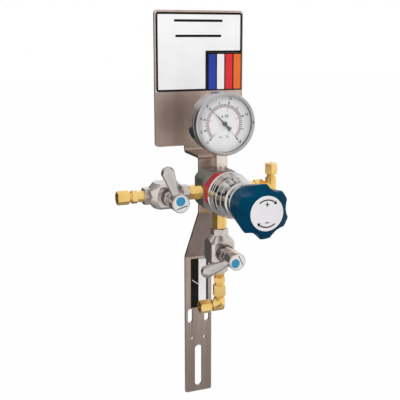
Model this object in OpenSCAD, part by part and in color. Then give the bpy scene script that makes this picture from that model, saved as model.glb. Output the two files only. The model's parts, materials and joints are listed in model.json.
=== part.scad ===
// Wall-mounted gas regulator panel: a bent steel bracket with a line regulator,
// a pressure gauge, an inlet and an outlet lever valve, tube fittings and a relief valve.
// Millimetres. +X right, +Y into the wall, +Z up. The origin lies on the wall face of
// the bracket, half way between its two small screw holes.

/* [Bracket] */
// Thickness of the bracket sheet
sheet_t = 3; // [2:0.5:4]
// Width of the narrow strip
strip_w = 33; // [28:1:40]
// How far the strip steps forward from the wall plane
step_depth = 44; // [38:1:52]
// Bend radius at the middle of the sheet
bend_r = 4; // [3:0.5:6]
// Height of the strip's lower end, below the screw holes
strip_bottom = 68; // [65:1:80]
// Height at which the slanted part leaves the wall plane
slant_low_z = 102; // [100:1:110]
// Height at which the slanted part meets the forward strip
slant_high_z = 165; // [158:1:166]
// Height of the top of the shelf
shelf_z = 227.8; // [227:0.2:231]
// Width of the sign plate
plate_w = 105; // [104:1:130]
// Height of the sign plate
plate_h = 149; // [142:1:180]
// Height of the sign plate's lower edge
plate_z = 232.8; // [231.8:0.2:236]
// Sideways offset of the sign plate
plate_shift = 1.4; // [-3:0.1:3]
// Corner radius of the sign plate
plate_r = 4; // [2:0.5:8]
// Corner radius of the strip's lower end
strip_r = 2; // [1:0.5:6]
// Width of the two upper slots
slot_w = 6; // [4.5:0.5:7]
// Length of the two upper slots
slot_len = 17.3; // [12:0.1:24]
// Distance between the two upper slots
slot_pitch = 20.8; // [18:0.2:24]
// Height of the middle of the upper slots
slot_z = 28.6; // [24:0.1:32]
// Diameter of the two small holes
hole_d = 3.2; // [2.5:0.1:4.5]
// Distance between the two small holes
hole_pitch = 15.2; // [12:0.2:20]
// Width of the long lower slot
long_slot_w = 9; // [6:0.5:12]
// Length of the long lower slot
long_slot_len = 52; // [30:0.5:54]
// Height of the middle of the long slot, below the small holes
long_slot_drop = 35.2; // [34:0.2:36]

/* [Signs] */
// Thickness of the sign plastic
sign_t = 0.8; // [0.5:0.1:1.5]
// Width of the sign
sign_w = 102.3; // [90:0.1:104]
// Height of the sign
sign_h = 86; // [70:1:100]
// Gap from the plate's top edge to the sign
sign_gap = 2.2; // [1:0.1:10]
// Side of the square tag that makes up the sign's lower right corner
tag_side = 42; // [30:0.5:50]
// Thickness of the strip label
label_t = 0.3; // [0.2:0.1:0.6]
// Width of the strip label
label_w = 21.3; // [15:0.1:24]
// Height of the strip label
label_h = 60; // [40:1:60]
// Sideways offset of the strip label
label_shift = 1.1; // [-2:0.1:3]
// Height of the strip label's lower edge
label_z = 38.6; // [38.2:0.2:40]

/* [Regulator] */
// Height of the regulator axis above the small holes
axis_z = 193; // [188:0.5:196]
// Distance from the strip to the plane of the ports
port_stand = 18.5; // [17:0.5:22]
// Radius of the regulator body
body_r = 25; // [24:0.5:28]
// Distance of the four port flats from the axis
body_flat = 21.4; // [20:0.2:22.4]
// Depth of the regulator body behind the collar
body_depth = 25.5; // [25:0.5:32]
// Radius of the threaded spigot that carries the bonnet
spigot_r = 17.5; // [16.5:0.25:18]
// Length of the spigot
spigot_len = 18.5; // [16:0.5:22]
// Wall of the bonnet skirt on the spigot
skirt_wall = 1.5; // [1:0.1:2]
// Wall of the octagonal collar at its flats
collar_wall = 1.5; // [1:0.1:2.5]
// Radius of the bonnet base
base_r = 23.4; // [22.5:0.1:26]
// Depth of the bonnet base
base_depth = 15.5; // [10:0.5:20]
// Rounding of the bonnet base's front edge
base_edge = 2.5; // [1:0.5:4]
// Radius of the bonnet barrel
barrel_r = 15; // [14.6:0.1:16]
// Depth of the cone between base and barrel
cone_depth = 11; // [6:0.5:14]
// Length of the bonnet barrel
barrel_len = 20; // [18:0.5:24]
// Wall of the bonnet barrel
barrel_wall = 2.5; // [1.5:0.1:3]
// Radius of the adjusting screw
screw_r = 4; // [3:0.25:5]
// Wire diameter of the range spring
range_wire = 2.4; // [1.6:0.1:3]
// Free gap between the back of the knob and the bonnet cone
knob_gap = 17; // [12:0.5:20]
// Radius of the knob at its back
knob_back_r = 19.4; // [18.6:0.1:22]
// Radius of the knob over its lobes
knob_front_r = 26.8; // [24:0.2:32]
// Depth of the tapered part of the knob
knob_depth = 36; // [32:0.5:42]
// Depth of the knob's front chamfer
knob_nose = 6; // [4:0.5:8]
// Number of lobes
knob_lobes = 6; // [4:1:8]
// Radius of the scallops between the lobes
scallop_r = 11.5; // [8:0.5:14]
// Depth of the scallops
scallop_depth = 5; // [2:0.5:6]
// Angle of the first scallop
knob_angle = 4; // [-30:1:30]
// Radius of the round plate on the knob
disc_r = 16.7; // [12:0.1:17.5]
// Thickness of the round plate on the knob
disc_t = 1.2; // [0.8:0.1:2]

/* [Gauge] */
// Radius of the gauge bezel
bezel_r = 33; // [31:0.5:35]
// Depth of the gauge, bezel to back
gauge_depth = 28; // [26.5:0.5:31]
// Distance from the stem axis to the front of the bezel
gauge_front = 17; // [15:0.5:19]
// Depth of the bezel ring
bezel_depth = 11; // [8:0.5:12]
// Radial width of the bezel's front lip
lip_w = 3.6; // [2.6:0.1:5]
// Turn of the gauge about its stem
gauge_turn = 0; // [-20:1:20]
// Across flats of the square gauge socket
socket_w = 12.5; // [12:0.5:16]
// Height of the socket below the case
socket_h = 12.6; // [8:0.2:20]
// Length of thread seen between socket and body
socket_thread = 5; // [3:0.5:8]
// Wall of the case and bezel
case_wall = 1.2; // [0.8:0.1:1.6]
// Thickness of the lens
lens_t = 1.5; // [1.2:0.1:2.5]
// Angle at which the pointer rests, from straight right
pointer_angle = 135; // [130:1:230]
// Length of the pointer
pointer_len = 21; // [14:0.5:24]
// Radius of the round plug in the side of the case
plug_r = 6; // [4:0.5:6]
// How far the plug stands out of the case
plug_rise = 1.5; // [1:0.1:3]
// Angle of the plug, above straight left
plug_angle = -17; // [-60:1:60]

/* [Valves] */
// Length of a valve between its pipe faces
valve_len = 49; // [45:1:56]
// Across flats of the hexagon ends
valve_hex = 16.5; // [16:0.5:19]
// Width and depth of the valve's middle block
block_w = 26.5; // [25:0.5:29]
// Corner chamfer of the middle block
block_chamfer = 2.8; // [2:0.1:4]
// Half length of the middle block, to the foot of its turned chamfer
block_half = 18; // [17:0.5:20]
// Radius of the round boss under the valve bonnet
boss_r = 10.2; // [10:0.1:12]
// How far the boss stands out of the block
boss_rise = 1; // [0.5:0.5:4]
// Radius of the valve bonnet
vbonnet_r = 8.4; // [8:0.1:8.8]
// Length of the valve bonnet
vbonnet_len = 16.75; // [14:0.25:20]
// Radius of the valve stem
stem_r = 4; // [3:0.25:5]
// Gap between the valve bonnet and the handle hub
hub_gap = 1; // [0.5:0.25:2]
// Radius of the handle hub
hub_r = 9.1; // [8.8:0.1:11]
// Length of the handle hub
hub_len = 16.5; // [13:0.5:18]
// Radial distance from the valve axis to the middle of the lever's end
lever_len = 29; // [24:0.5:34]
// Radius of the lever's round end
lever_end_r = 6.8; // [5:0.2:7]
// Radius of the lever at the hub
lever_root_r = 2.9; // [2.4:0.1:4]
// Backward lean of the lever
lever_lean = 18; // [0:1:20]
// Angle of the inlet lever, anticlockwise from straight up
inlet_angle = 15; // [0:1:90]
// Angle of the outlet lever, anticlockwise from straight up
outlet_angle = 115; // [90:1:180]
// Radius of the coloured spot on the hub
spot_r = 4.7; // [3:0.1:5]
// Distance of the spot's middle from the hub's middle, towards the lever
spot_off = 2.9; // [0:0.1:3.5]
// Distance of the hub's straight groove from its middle, away from the lever
line_d = 3.6; // [2.5:0.1:6]

/* [Fittings] */
// Outside diameter of the connecting tube
tube_d = 6.35; // [6:0.05:6.5]
// Across flats of the nipples
nipple_hex = 14; // [13:0.1:15]
// Length of the inlet nipple between valve and regulator
inlet_nipple_len = 15; // [12:0.5:20]
// Length of the outlet nipple between regulator and valve
outlet_nipple_len = 20; // [16:0.5:26]
// Across flats of the compression nuts
nut_hex = 12.7; // [12.2:0.1:14]
// Length of a compression nut
nut_len = 12.6; // [11:0.2:15]
// Across flats of the connectors
connector_hex = 12; // [11:0.1:13.4]
// Length of a connector's hexagon
connector_hex_len = 6.5; // [5:0.5:9]
// Length of a connector's round seat
connector_seat = 6; // [4:0.5:8]
// Radius of the pipe threads
pipe_r = 5.1; // [4.8:0.1:5.4]
// Length of the pipe threads
pipe_thread = 8; // [6:0.5:9]
// Radius of the nut threads
nut_thread_r = 5; // [4.7:0.1:5.3]
// Length of nut thread that stays in sight
thread_show = 2.4; // [1.5:0.1:4]
// Distance of the elbow's eight faces from its middle line
elbow_r = 5.8; // [5.6:0.1:6.6]
// Distance from the elbow's middle to the end of each arm
elbow_arm = 8.4; // [7.6:0.2:11]
// Radius of the flow bores
flow_r = 2.2; // [1.5:0.1:2.4]

/* [Relief valve] */
// Distance from the regulator axis to the relief valve's axis
relief_x = 60.5; // [58:0.5:66]
// Length of the relief nipple's hexagon
relief_hex_len = 10.5; // [7:0.5:12]
// Distance from the hexagon to the relief valve's axis
relief_hex_gap = 10; // [9:0.5:12]
// Radius of the round shoulder between the regulator and the hexagon
relief_shoulder_r = 6.6; // [6:0.1:7]
// Radius of the relief body's side arm
relief_arm_r = 5.9; // [5:0.1:6]
// Radius of the relief body
relief_r = 6; // [5.6:0.1:7]
// How far the relief body reaches below the port axis
relief_low = 11; // [9:0.5:14]
// How far the relief body reaches above the port axis
relief_high = 10; // [8:0.5:12]
// Across flats of the relief cap
relief_cap_hex = 12.7; // [12:0.1:15]
// Height of the relief cap
relief_cap_h = 11.8; // [11:0.2:18]
// Length of neck in sight under the cap
relief_neck = 3.3; // [3:0.1:7]
// Radius of the neck
relief_neck_r = 4.2; // [4:0.1:5.2]

/* [Clearances] */
// Radial clearance of a sliding or turning fit
fit = 0.05; // [0.03:0.01:0.08]
// Free gap between pieces that must not touch
free = 0.3; // [0.2:0.05:0.5]

/* [Hidden] */
$fn = 64;

// Places that follow from the driving sizes
strip_front = -(sheet_t + step_depth);
port_y = strip_front - port_stand;
body_front = strip_front - body_depth;
spigot_front = body_front - spigot_len;
membrane_t = 0.4;
base_back = spigot_front - membrane_t;
base_front = base_back - base_depth;
cone_front = base_front - cone_depth;
barrel_front = cone_front - barrel_len;
neck_front = barrel_front - 6;
neck_r = 9;
knob_back = cone_front - knob_gap;
knob_front = knob_back - knob_depth;
nose_front = knob_front - knob_nose;
inlet_valve_x = -(body_flat + inlet_nipple_len + valve_len / 2);
outlet_valve_z = axis_z - (body_flat + outlet_nipple_len + valve_len / 2);
inlet_end_x = inlet_valve_x - valve_len / 2;
outlet_end_z = outlet_valve_z - valve_len / 2;
sign_z = plate_z + plate_h - sign_gap - sign_h;
tag_x = plate_shift + sign_w / 2 - tag_side;
bore_r = tube_d / 2 + fit;

// A hexagon's corner radius for a given width across flats
function hex_r(flats) = flats / 2 / cos(30);

// Turns a shape drawn along +Z to point along -Y, towards the viewer
module forward(y) translate([0, y, 0]) rotate([90, 0, 0]) children();

// A solid of revolution about the regulator axis, drawn as [radius, distance forward]
module turned(points) translate([0, 0, axis_z]) rotate([90, 0, 0])
    rotate_extrude() polygon([for (p = points) [p[0], -p[1]]]);

// A hexagon bar along +Z whose corners are turned off at both ends
module hex_bar(flats, length) {
    face = 0.95 * flats / 2;
    outer = hex_r(flats) + 0.2;
    edge = (outer - face) * tan(30);
    intersection() {
        cylinder(h = length, r = hex_r(flats), $fn = 6);
        rotate_extrude() polygon([
            [0, 0], [face, 0], [outer, edge], [outer, length - edge], [face, length], [0, length]
        ]);
    }
}

// A sheet outline that follows a path, with rounded bends
function unit(v) = v / norm(v);
function side(v) = [-v[1], v[0]];
function turn(v, a) = [v[0] * cos(a) - v[1] * sin(a), v[0] * sin(a) + v[1] * cos(a)];
function bend(a, b, c, r) = let(
    u = unit(b - a),
    v = unit(c - b),
    s = sign(u[0] * v[1] - u[1] * v[0]),
    angle = acos(u * v),
    start = b - u * r * tan(angle / 2),
    middle = start + s * r * side(u)
) [for (i = [0:6]) let(w = s * angle * i / 6) [middle + turn(start - middle, w), side(turn(u, w))]];
function rounded(path, r) = concat(
    [[path[0], side(unit(path[1] - path[0]))]],
    [for (i = [1:len(path) - 2]) each bend(path[i - 1], path[i], path[i + 1], r)],
    [[path[len(path) - 1], side(unit(path[len(path) - 1] - path[len(path) - 2]))]]
);
module sheet(path, r, t) {
    line = rounded(path, r);
    count = len(line);
    polygon(concat(
        [for (p = line) p[0] + p[1] * t / 2],
        [for (i = [count - 1:-1:0]) line[i][0] - line[i][1] * t / 2]
    ));
}

// A flat plate in the wall plane with round corners
module round_plate(w, h, r, t) {
    for (x = [-1, 1], z = [0, 1])
        translate([x * (w / 2 - r), 0, z * (h - 2 * r) + r]) rotate([90, 0, 0]) cylinder(h = t, r = r);
    translate([-w / 2 + r, -t, 0]) cube([w - 2 * r, t, h]);
    translate([-w / 2, -t, r]) cube([w, t, h - 2 * r]);
}

// A slot through the sheet, standing up
module slot(w, len) {
    for (z = [-1, 1])
        translate([0, 1, z * (len - w) / 2]) rotate([90, 0, 0]) cylinder(h = sheet_t + 2, r = w / 2);
    translate([-w / 2, -sheet_t - 1, -(len - w) / 2]) cube([w, sheet_t + 2, len - w]);
}

// A helical spring along +Z, as one closed tube
module spring(coil_r, wire_r, length, turns) {
    sides = 8;
    steps = turns * 14;
    rise = length - 2 * wire_r;
    points = [for (i = [0:steps], j = [0:sides - 1]) let(
        a = 360 * turns * i / steps,
        b = 360 * j / sides,
        r = coil_r + wire_r * cos(b)
    ) [r * cos(a), r * sin(a), wire_r + rise * i / steps + wire_r * sin(b)]];
    skin = [for (i = [0:steps - 1], j = [0:sides - 1]) let(k = (j + 1) % sides)
        [i * sides + j, (i + 1) * sides + j, (i + 1) * sides + k, i * sides + k]];
    polyhedron(points, concat(
        [[for (j = [0:sides - 1]) j]],
        skin,
        [[for (j = [sides - 1:-1:0]) steps * sides + j]]
    ));
}

// Bracket
screw_pitch = 24;
mount_screw_r = 2.5;
mount_head_r = 4.2;
mount_head_h = 3;
mount_screw_len = 8;

module bracket() {
    mid = -sheet_t / 2;
    fore = mid - step_depth;
    color("silver") difference() {
        union() {
            translate([-strip_w / 2, 0, 0]) rotate([90, 0, 90]) linear_extrude(strip_w) sheet([
                [mid, -strip_bottom + strip_r],
                [mid, slant_low_z],
                [fore, slant_high_z],
                [fore, shelf_z - sheet_t / 2],
                [mid, shelf_z - sheet_t / 2],
                [mid, plate_z + plate_r]
            ], bend_r, sheet_t);
            translate([plate_shift, 0, plate_z]) round_plate(plate_w, plate_h, plate_r, sheet_t);
            translate([0, 0, -strip_bottom]) round_plate(strip_w, 4 * strip_r, strip_r, sheet_t);
        }
        for (x = [-1, 1]) {
            translate([x * slot_pitch / 2, 0, slot_z]) slot(slot_w, slot_len);
            translate([x * hole_pitch / 2, 1, 0]) rotate([90, 0, 0]) cylinder(h = sheet_t + 2, r = hole_d / 2);
        }
        translate([0, 0, -long_slot_drop]) slot(long_slot_w, long_slot_len);
        for (z = [-1, 1])
            translate([0, 0, axis_z + z * screw_pitch / 2]) forward(-step_depth + 1)
                cylinder(h = sheet_t + 2, r = mount_screw_r);
    }
}

module mounting_screws() {
    color("dimgray") for (z = [-1, 1])
        translate([0, 0, axis_z + z * screw_pitch / 2]) difference() {
            union() {
                forward(-step_depth) cylinder(h = sheet_t + mount_screw_len, r = mount_screw_r);
                forward(-step_depth + mount_head_h) cylinder(h = mount_head_h, r = mount_head_r);
            }
            forward(-step_depth + mount_head_h + 1) cylinder(h = 2.8, r = 2.2, $fn = 6);
        }
}

module sign_panel() {
    color("white") translate([0, -sheet_t - sign_t, 0]) difference() {
        translate([plate_shift - sign_w / 2, 0, sign_z]) cube([sign_w, sign_t, sign_h]);
        translate([tag_x - fit, -1, sign_z - 1]) cube([tag_side + 1, sign_t + 2, tag_side + fit + 1]);
    }
}

module colour_tag() {
    color("orangered") translate([tag_x, -sheet_t - sign_t, sign_z]) cube([tag_side, sign_t, tag_side]);
}

module strip_label() {
    color("black") translate([label_shift - label_w / 2, -sheet_t - label_t, label_z])
        cube([label_w, label_t, label_h]);
}

// Regulator
chamber_r = 14.5;
chamber_depth = 5;
seat_r = 6.5;
seat_len = 7;
well_back = strip_front - 6;
poppet_r = 4.2;
poppet_len = 6;
poppet_stem_r = 1.5;
seat_back = spigot_front + chamber_depth + seat_len;
plate_r_in = 10;
passage_at = 12;

// A threaded port drilled along +Z from a flat, with its passage to the middle
module port(drop) {
    translate([0, 0, body_flat - pipe_thread - 1]) cylinder(h = pipe_thread + 2, r = pipe_r);
    translate([0, 0, drop]) cylinder(h = body_flat - drop, r = flow_r);
}

module regulator_body() {
    color("dimgray") translate([0, 0, axis_z]) difference() {
        union() {
            forward(strip_front) cylinder(h = body_depth, r = body_r);
            forward(body_front) cylinder(h = spigot_len, r = spigot_r);
        }
        for (a = [0:90:270]) rotate([0, a, 0])
            translate([-body_r, body_front - 0.01, body_flat]) cube([2 * body_r, body_depth + 1, body_r]);
        forward(spigot_front + chamber_depth) cylinder(h = chamber_depth + 1, r = chamber_r);
        forward(well_back) cylinder(h = well_back - spigot_front, r = seat_r);
        for (z = [-1, 1])
            translate([0, 0, z * screw_pitch / 2]) forward(strip_front + 1)
                cylinder(h = mount_screw_len + 1, r = mount_screw_r);
        translate([0, port_y, 0]) {
            rotate([0, -90, 0]) port(0);
            for (a = [0, 90, 180]) rotate([0, a, 0]) {
                port(passage_at);
                translate([0, 0, passage_at]) rotate([90, 0, 0])
                    cylinder(h = port_y - spigot_front, r = flow_r);
            }
        }
    }
}

module collar() {
    outer = spigot_r + skirt_wall + collar_wall;
    color("firebrick") translate([0, 0, axis_z]) difference() {
        forward(body_front) rotate([0, 0, 22.5]) cylinder(h = spigot_len, r = outer / cos(22.5), $fn = 8);
        forward(body_front + 1) cylinder(h = spigot_len + 2, r = spigot_r + skirt_wall);
    }
}

module seat_ring() {
    color("goldenrod") translate([0, 0, axis_z]) difference() {
        forward(seat_back) cylinder(h = seat_len, r = seat_r);
        forward(seat_back + 1) cylinder(h = seat_len + 2, r = flow_r);
    }
}

module main_poppet() {
    head_front = seat_back;
    color("gray") translate([0, 0, axis_z]) difference() {
        union() {
            forward(head_front + poppet_len) cylinder(h = poppet_len, r = poppet_r);
            forward(head_front + 1) cylinder(h = head_front + 1 - spigot_front, r = poppet_stem_r);
        }
        forward(head_front + poppet_len + 1) cylinder(h = poppet_len - 1, r = 2);
    }
}

module poppet_spring() {
    low = seat_back + poppet_len;
    color("silver") translate([0, 0, axis_z]) forward(well_back) spring(3.2, 0.5, well_back - low, 5);
}

module diaphragm() {
    color("silver") translate([0, 0, axis_z]) forward(spigot_front) cylinder(h = membrane_t, r = spigot_r);
}

module diaphragm_plate() {
    color("gray") turned([
        [0, base_back - 3.5], [3, base_back - 3.5], [4, base_back - 2], [plate_r_in, base_back - 2],
        [plate_r_in, base_back], [0, base_back]
    ]);
}

// The bonnet: skirt on the spigot, base, cone, barrel and screw neck
module bonnet() {
    skirt_back = body_front - 3;
    well_r = barrel_r - barrel_wall;
    color("lightgray") turned([
        [spigot_r, skirt_back], [spigot_r + skirt_wall, skirt_back],
        [spigot_r + skirt_wall, spigot_front], [base_r, spigot_front],
        [base_r, base_front + base_edge], [base_r - 0.3 * base_edge, base_front + 0.3 * base_edge],
        [base_r - base_edge, base_front], [barrel_r + 5, base_front],
        [barrel_r, cone_front], [barrel_r, barrel_front],
        [neck_r, barrel_front], [neck_r, neck_front], [screw_r + fit, neck_front],
        [screw_r + fit, barrel_front + 4], [well_r, barrel_front + 4], [well_r, base_back],
        [spigot_r, base_back]
    ]);
}

// Range spring, its button and the adjusting screw
button_r = barrel_r - barrel_wall - fit;
button_t = 4;
button_back = cone_front - 2;
button_front = button_back - button_t;
button_nose = button_front - 3;

module range_spring() {
    seat = base_back - 2;
    color("silver") translate([0, 0, axis_z]) forward(seat)
        spring(button_r - 2.5 - range_wire / 2, range_wire / 2, seat - button_back, 6);
}

module spring_button() {
    color("gray") turned([
        [0, button_nose], [screw_r + 1, button_nose], [screw_r + 1, button_front],
        [button_r, button_front], [button_r, button_back], [0, button_back]
    ]);
}

screw_front = nose_front + 9;

module adjusting_screw() {
    color("gray") translate([0, 0, axis_z]) forward(button_nose)
        cylinder(h = button_nose - screw_front, r = screw_r);
}

knob_well_r = barrel_r + 1.5;
knob_floor = neck_front - 7;

module knob() {
    color("steelblue") translate([0, 0, axis_z]) difference() {
        union() {
            forward(knob_back) cylinder(h = knob_depth, r1 = knob_back_r, r2 = knob_front_r);
            forward(knob_front) cylinder(h = knob_nose, r1 = knob_front_r, r2 = disc_r + 0.8);
        }
        forward(knob_back + 1) cylinder(h = knob_back + 1 - knob_floor, r = knob_well_r);
        forward(knob_floor + 1) cylinder(h = knob_floor + 1 - screw_front, r = screw_r);
        for (i = [0:knob_lobes - 1]) rotate([0, -knob_angle - i * 360 / knob_lobes, 0])
            translate([knob_front_r + scallop_r - scallop_depth, 0, 0]) forward(knob_back + 1)
                cylinder(h = knob_depth + knob_nose + 2, r = scallop_r);
    }
}

module knob_disc() {
    color("whitesmoke") translate([0, 0, axis_z]) forward(nose_front) cylinder(h = disc_t, r = disc_r);
}

// Gauge
gauge_z = axis_z + body_flat + socket_thread + socket_h + bezel_r;
case_r = bezel_r - case_wall;
front_y = -gauge_front;
back_y = front_y + gauge_depth;
lip_t = 1.6;
lens_back = front_y + lip_t + lens_t;
gasket_t = 1.6;
dial_t = 0.8;
dial_y = lens_back + 3;
pointer_y = dial_y - 1.2;
case_edge = 3;
notch_h = 10;
dial_r = case_r - case_wall - 0.4;
dial_screw_r = 0.9;
dial_screw_x = 3.8;
dial_screw_z = -13.5;
arbor_r = 0.8;
pinion_r = 1.3;
sector_r = 9.5;
sector_drop = pinion_r + sector_r + 0.2;
plate_t = 1.2;
plate_gap = 3.2;
plate_w_half = 7;
plate_low = -24;
plate_high = 8;
plate_front = dial_y + dial_t;
plate_back = plate_front + 2 * plate_t + plate_gap;
gear_t = 1;
gear_y = plate_front + plate_t + plate_gap / 2;
socket_top = -17;
tube_coil_r = 20;
tube_section = [1.8, 6.5];
plug_y = (front_y + bezel_depth + back_y - case_edge) / 2;

module at_gauge() translate([0, port_y, gauge_z]) rotate([0, 0, -gauge_turn]) children();

// A solid of revolution about the gauge axis, drawn as [radius, depth]
module gauge_turned(points) at_gauge() rotate([90, 0, 0])
    rotate_extrude() polygon([for (p = points) [p[0], -p[1]]]);

module gauge_socket() {
    foot = -bezel_r - socket_h;
    bore = 1.5;
    color("burlywood") {
        translate([0, port_y, axis_z + body_flat - pipe_thread]) difference() {
            cylinder(h = pipe_thread + socket_thread + 1, r = pipe_r);
            translate([0, 0, -1]) cylinder(h = pipe_thread + socket_thread + 3, r = bore);
        }
        at_gauge() difference() {
            translate([-socket_w / 2, -socket_w / 2, foot]) cube([socket_w, socket_w, socket_top - foot]);
            translate([-socket_w / 2 - 1, -socket_w / 2 - 1, -case_r + 1])
                cube([socket_w + 2, plate_back + socket_w / 2 + 1, case_r]);
            translate([0, 0, foot - 1]) cylinder(h = socket_h + 1, r = bore);
        }
    }
}

// The plug that closes the side of the case, and the hole that it sits in
module plug_shape(inside, outside) at_gauge() rotate([0, plug_angle, 0])
    translate([-inside, plug_y, 0]) rotate([0, -90, 0]) cylinder(h = outside - inside, r = plug_r);

// The notch through which the socket enters a ring of radius r
module socket_notch(r) at_gauge()
    translate([-socket_w / 2, -socket_w / 2, -r - notch_h / 2]) cube([socket_w, socket_w, notch_h]);

module gauge_case() {
    color("dimgray") difference() {
        gauge_turned([
            [0, back_y], [case_r - case_edge, back_y], [case_r, back_y - case_edge],
            [case_r, lens_back + gasket_t], [case_r - case_wall, lens_back + gasket_t],
            [case_r - case_wall, back_y - case_edge - 0.4], [case_r - case_edge - 0.4, back_y - case_wall],
            [0, back_y - case_wall]
        ]);
        socket_notch(case_r);
        plug_shape(case_r - 4, case_r + 4);
    }
}

module gauge_bezel() {
    color("silver") difference() {
        gauge_turned([
            [case_r, front_y + bezel_depth], [bezel_r, front_y + bezel_depth],
            [bezel_r, front_y + 1.2], [bezel_r - 1.2, front_y], [bezel_r - lip_w, front_y + 0.4],
            [bezel_r - lip_w, front_y + lip_t], [case_r, front_y + lip_t]
        ]);
        socket_notch(bezel_r);
    }
}

module gauge_gasket() {
    color("black") gauge_turned([
        [case_r - 2.2, lens_back], [case_r, lens_back],
        [case_r, lens_back + gasket_t], [case_r - 2.2, lens_back + gasket_t]
    ]);
}

module gauge_lens() {
    color("lightcyan", 0.3) at_gauge() forward(lens_back) cylinder(h = lens_t, r = case_r);
}

// The shank holes of the two dial screws, or the shanks themselves
module dial_shanks(y, length) for (x = [-1, 1])
    translate([x * dial_screw_x, 0, dial_screw_z]) forward(y) cylinder(h = length, r = dial_screw_r);

module gauge_dial() {
    color("white") at_gauge() difference() {
        forward(dial_y + dial_t) cylinder(h = dial_t, r = dial_r);
        forward(dial_y + 2) cylinder(h = 4, r = arbor_r + 0.6);
        dial_shanks(dial_y + 2, 4);
    }
}

module dial_screws() {
    color("rosybrown") at_gauge() {
        for (x = [-1, 1]) translate([x * dial_screw_x, 0, dial_screw_z])
            forward(dial_y) cylinder(h = 0.6, r = dial_screw_r + 0.6);
        dial_shanks(plate_front + plate_t, plate_t + dial_t);
    }
}

module gauge_pointer() {
    hub = 2.6;
    tail = 9;
    blade_t = 0.5;
    color("dimgray") at_gauge() rotate([0, -pointer_angle, 0]) {
        translate([0, pointer_y, 0]) rotate([90, 0, 0]) linear_extrude(blade_t) polygon([
            [pointer_len, 0], [3, 0.8], [0, 1.5], [-5, 0.9], [-tail, hub],
            [-tail, -hub], [-5, -0.9], [0, -1.5], [3, -0.8]
        ]);
        forward(pointer_y) cylinder(h = 0.9, r = hub);
        forward(plate_back - 0.2) cylinder(h = plate_back - 0.2 - pointer_y + 0.2, r = arbor_r);
        forward(gear_y + 0.8) cylinder(h = 1.6, r = pinion_r);
    }
}

module gauge_movement() {
    pillar = 1.2;
    color("goldenrod") at_gauge() difference() {
        union() {
            for (y = [plate_front, plate_back - plate_t]) translate([-plate_w_half, y, plate_low])
                cube([2 * plate_w_half, plate_t, plate_high - plate_low]);
            for (x = [-1, 1], z = [plate_low + pillar, plate_high - pillar])
                translate([x * (plate_w_half - pillar), 0, z]) forward(plate_back)
                    cylinder(h = plate_back - plate_front, r = pillar);
        }
        for (z = [0, -sector_drop]) translate([0, 0, z]) forward(plate_back + 1)
            cylinder(h = plate_back - plate_front + 2, r = arbor_r + fit);
        dial_shanks(plate_front + plate_t, plate_t + 1);
    }
}

// The toothed sector that drives the pointer's pinion, drawn without teeth
module gauge_sector() {
    half_angle = 32;
    far = 2 * sector_r;
    color("gold") at_gauge() translate([0, 0, -sector_drop]) {
        intersection() {
            forward(gear_y + gear_t / 2) cylinder(h = gear_t, r = sector_r);
            translate([0, gear_y + gear_t / 2, 0]) rotate([90, 0, 0]) linear_extrude(gear_t) polygon([
                [0, 0], [far * sin(half_angle), far * cos(half_angle)],
                [-far * sin(half_angle), far * cos(half_angle)]
            ]);
        }
        forward(gear_y + gear_t / 2) cylinder(h = gear_t, r = 2.2);
        translate([-1, gear_y - gear_t / 2, -5]) cube([2, gear_t, 5]);
        forward(plate_back - 0.1) cylinder(h = plate_back - plate_front - 0.2, r = arbor_r);
    }
}

module bourdon_tube() {
    section_y = back_y - case_wall - 1 - tube_section[1] / 2;
    start = 90 + asin((socket_w / 2 + fit) / (tube_coil_r - tube_section[0] / 2));
    color("peru") at_gauge() translate([0, section_y, 0]) rotate([-90, 0, 0])
        rotate([0, 0, start]) rotate_extrude(angle = 250) translate([tube_coil_r, 0])
            square(tube_section, center = true);
}

module gauge_plug() color("black") plug_shape(case_r - case_wall, case_r + plug_rise);

// Valves. Flow runs along X, the bonnet points along -Y, the lever stands up at angle 0.
valve_thread = pipe_thread + 1;
cavity_r = 7.2;
cavity_floor = -8;
seat_plane = cavity_floor - 2;
bonnet_back = -(block_w / 2 + boss_rise);
bonnet_front = bonnet_back - vbonnet_len;
hub_back = bonnet_front - hub_gap;
hub_front = hub_back - hub_len;
lever_y = hub_back - 7.9;
line_len = 11.5;
line_t = 0.8;
groove_w = 0.9;
groove_depth = 1.2;
plunger_r = 3;
plunger_travel = 1;
stem_back = bonnet_back - 3.2;
stem_end_r = 3;
cap_t = 3;
valve_port_r = 1.6;
return_r = 0.9;
web_x = 3.4;

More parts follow.
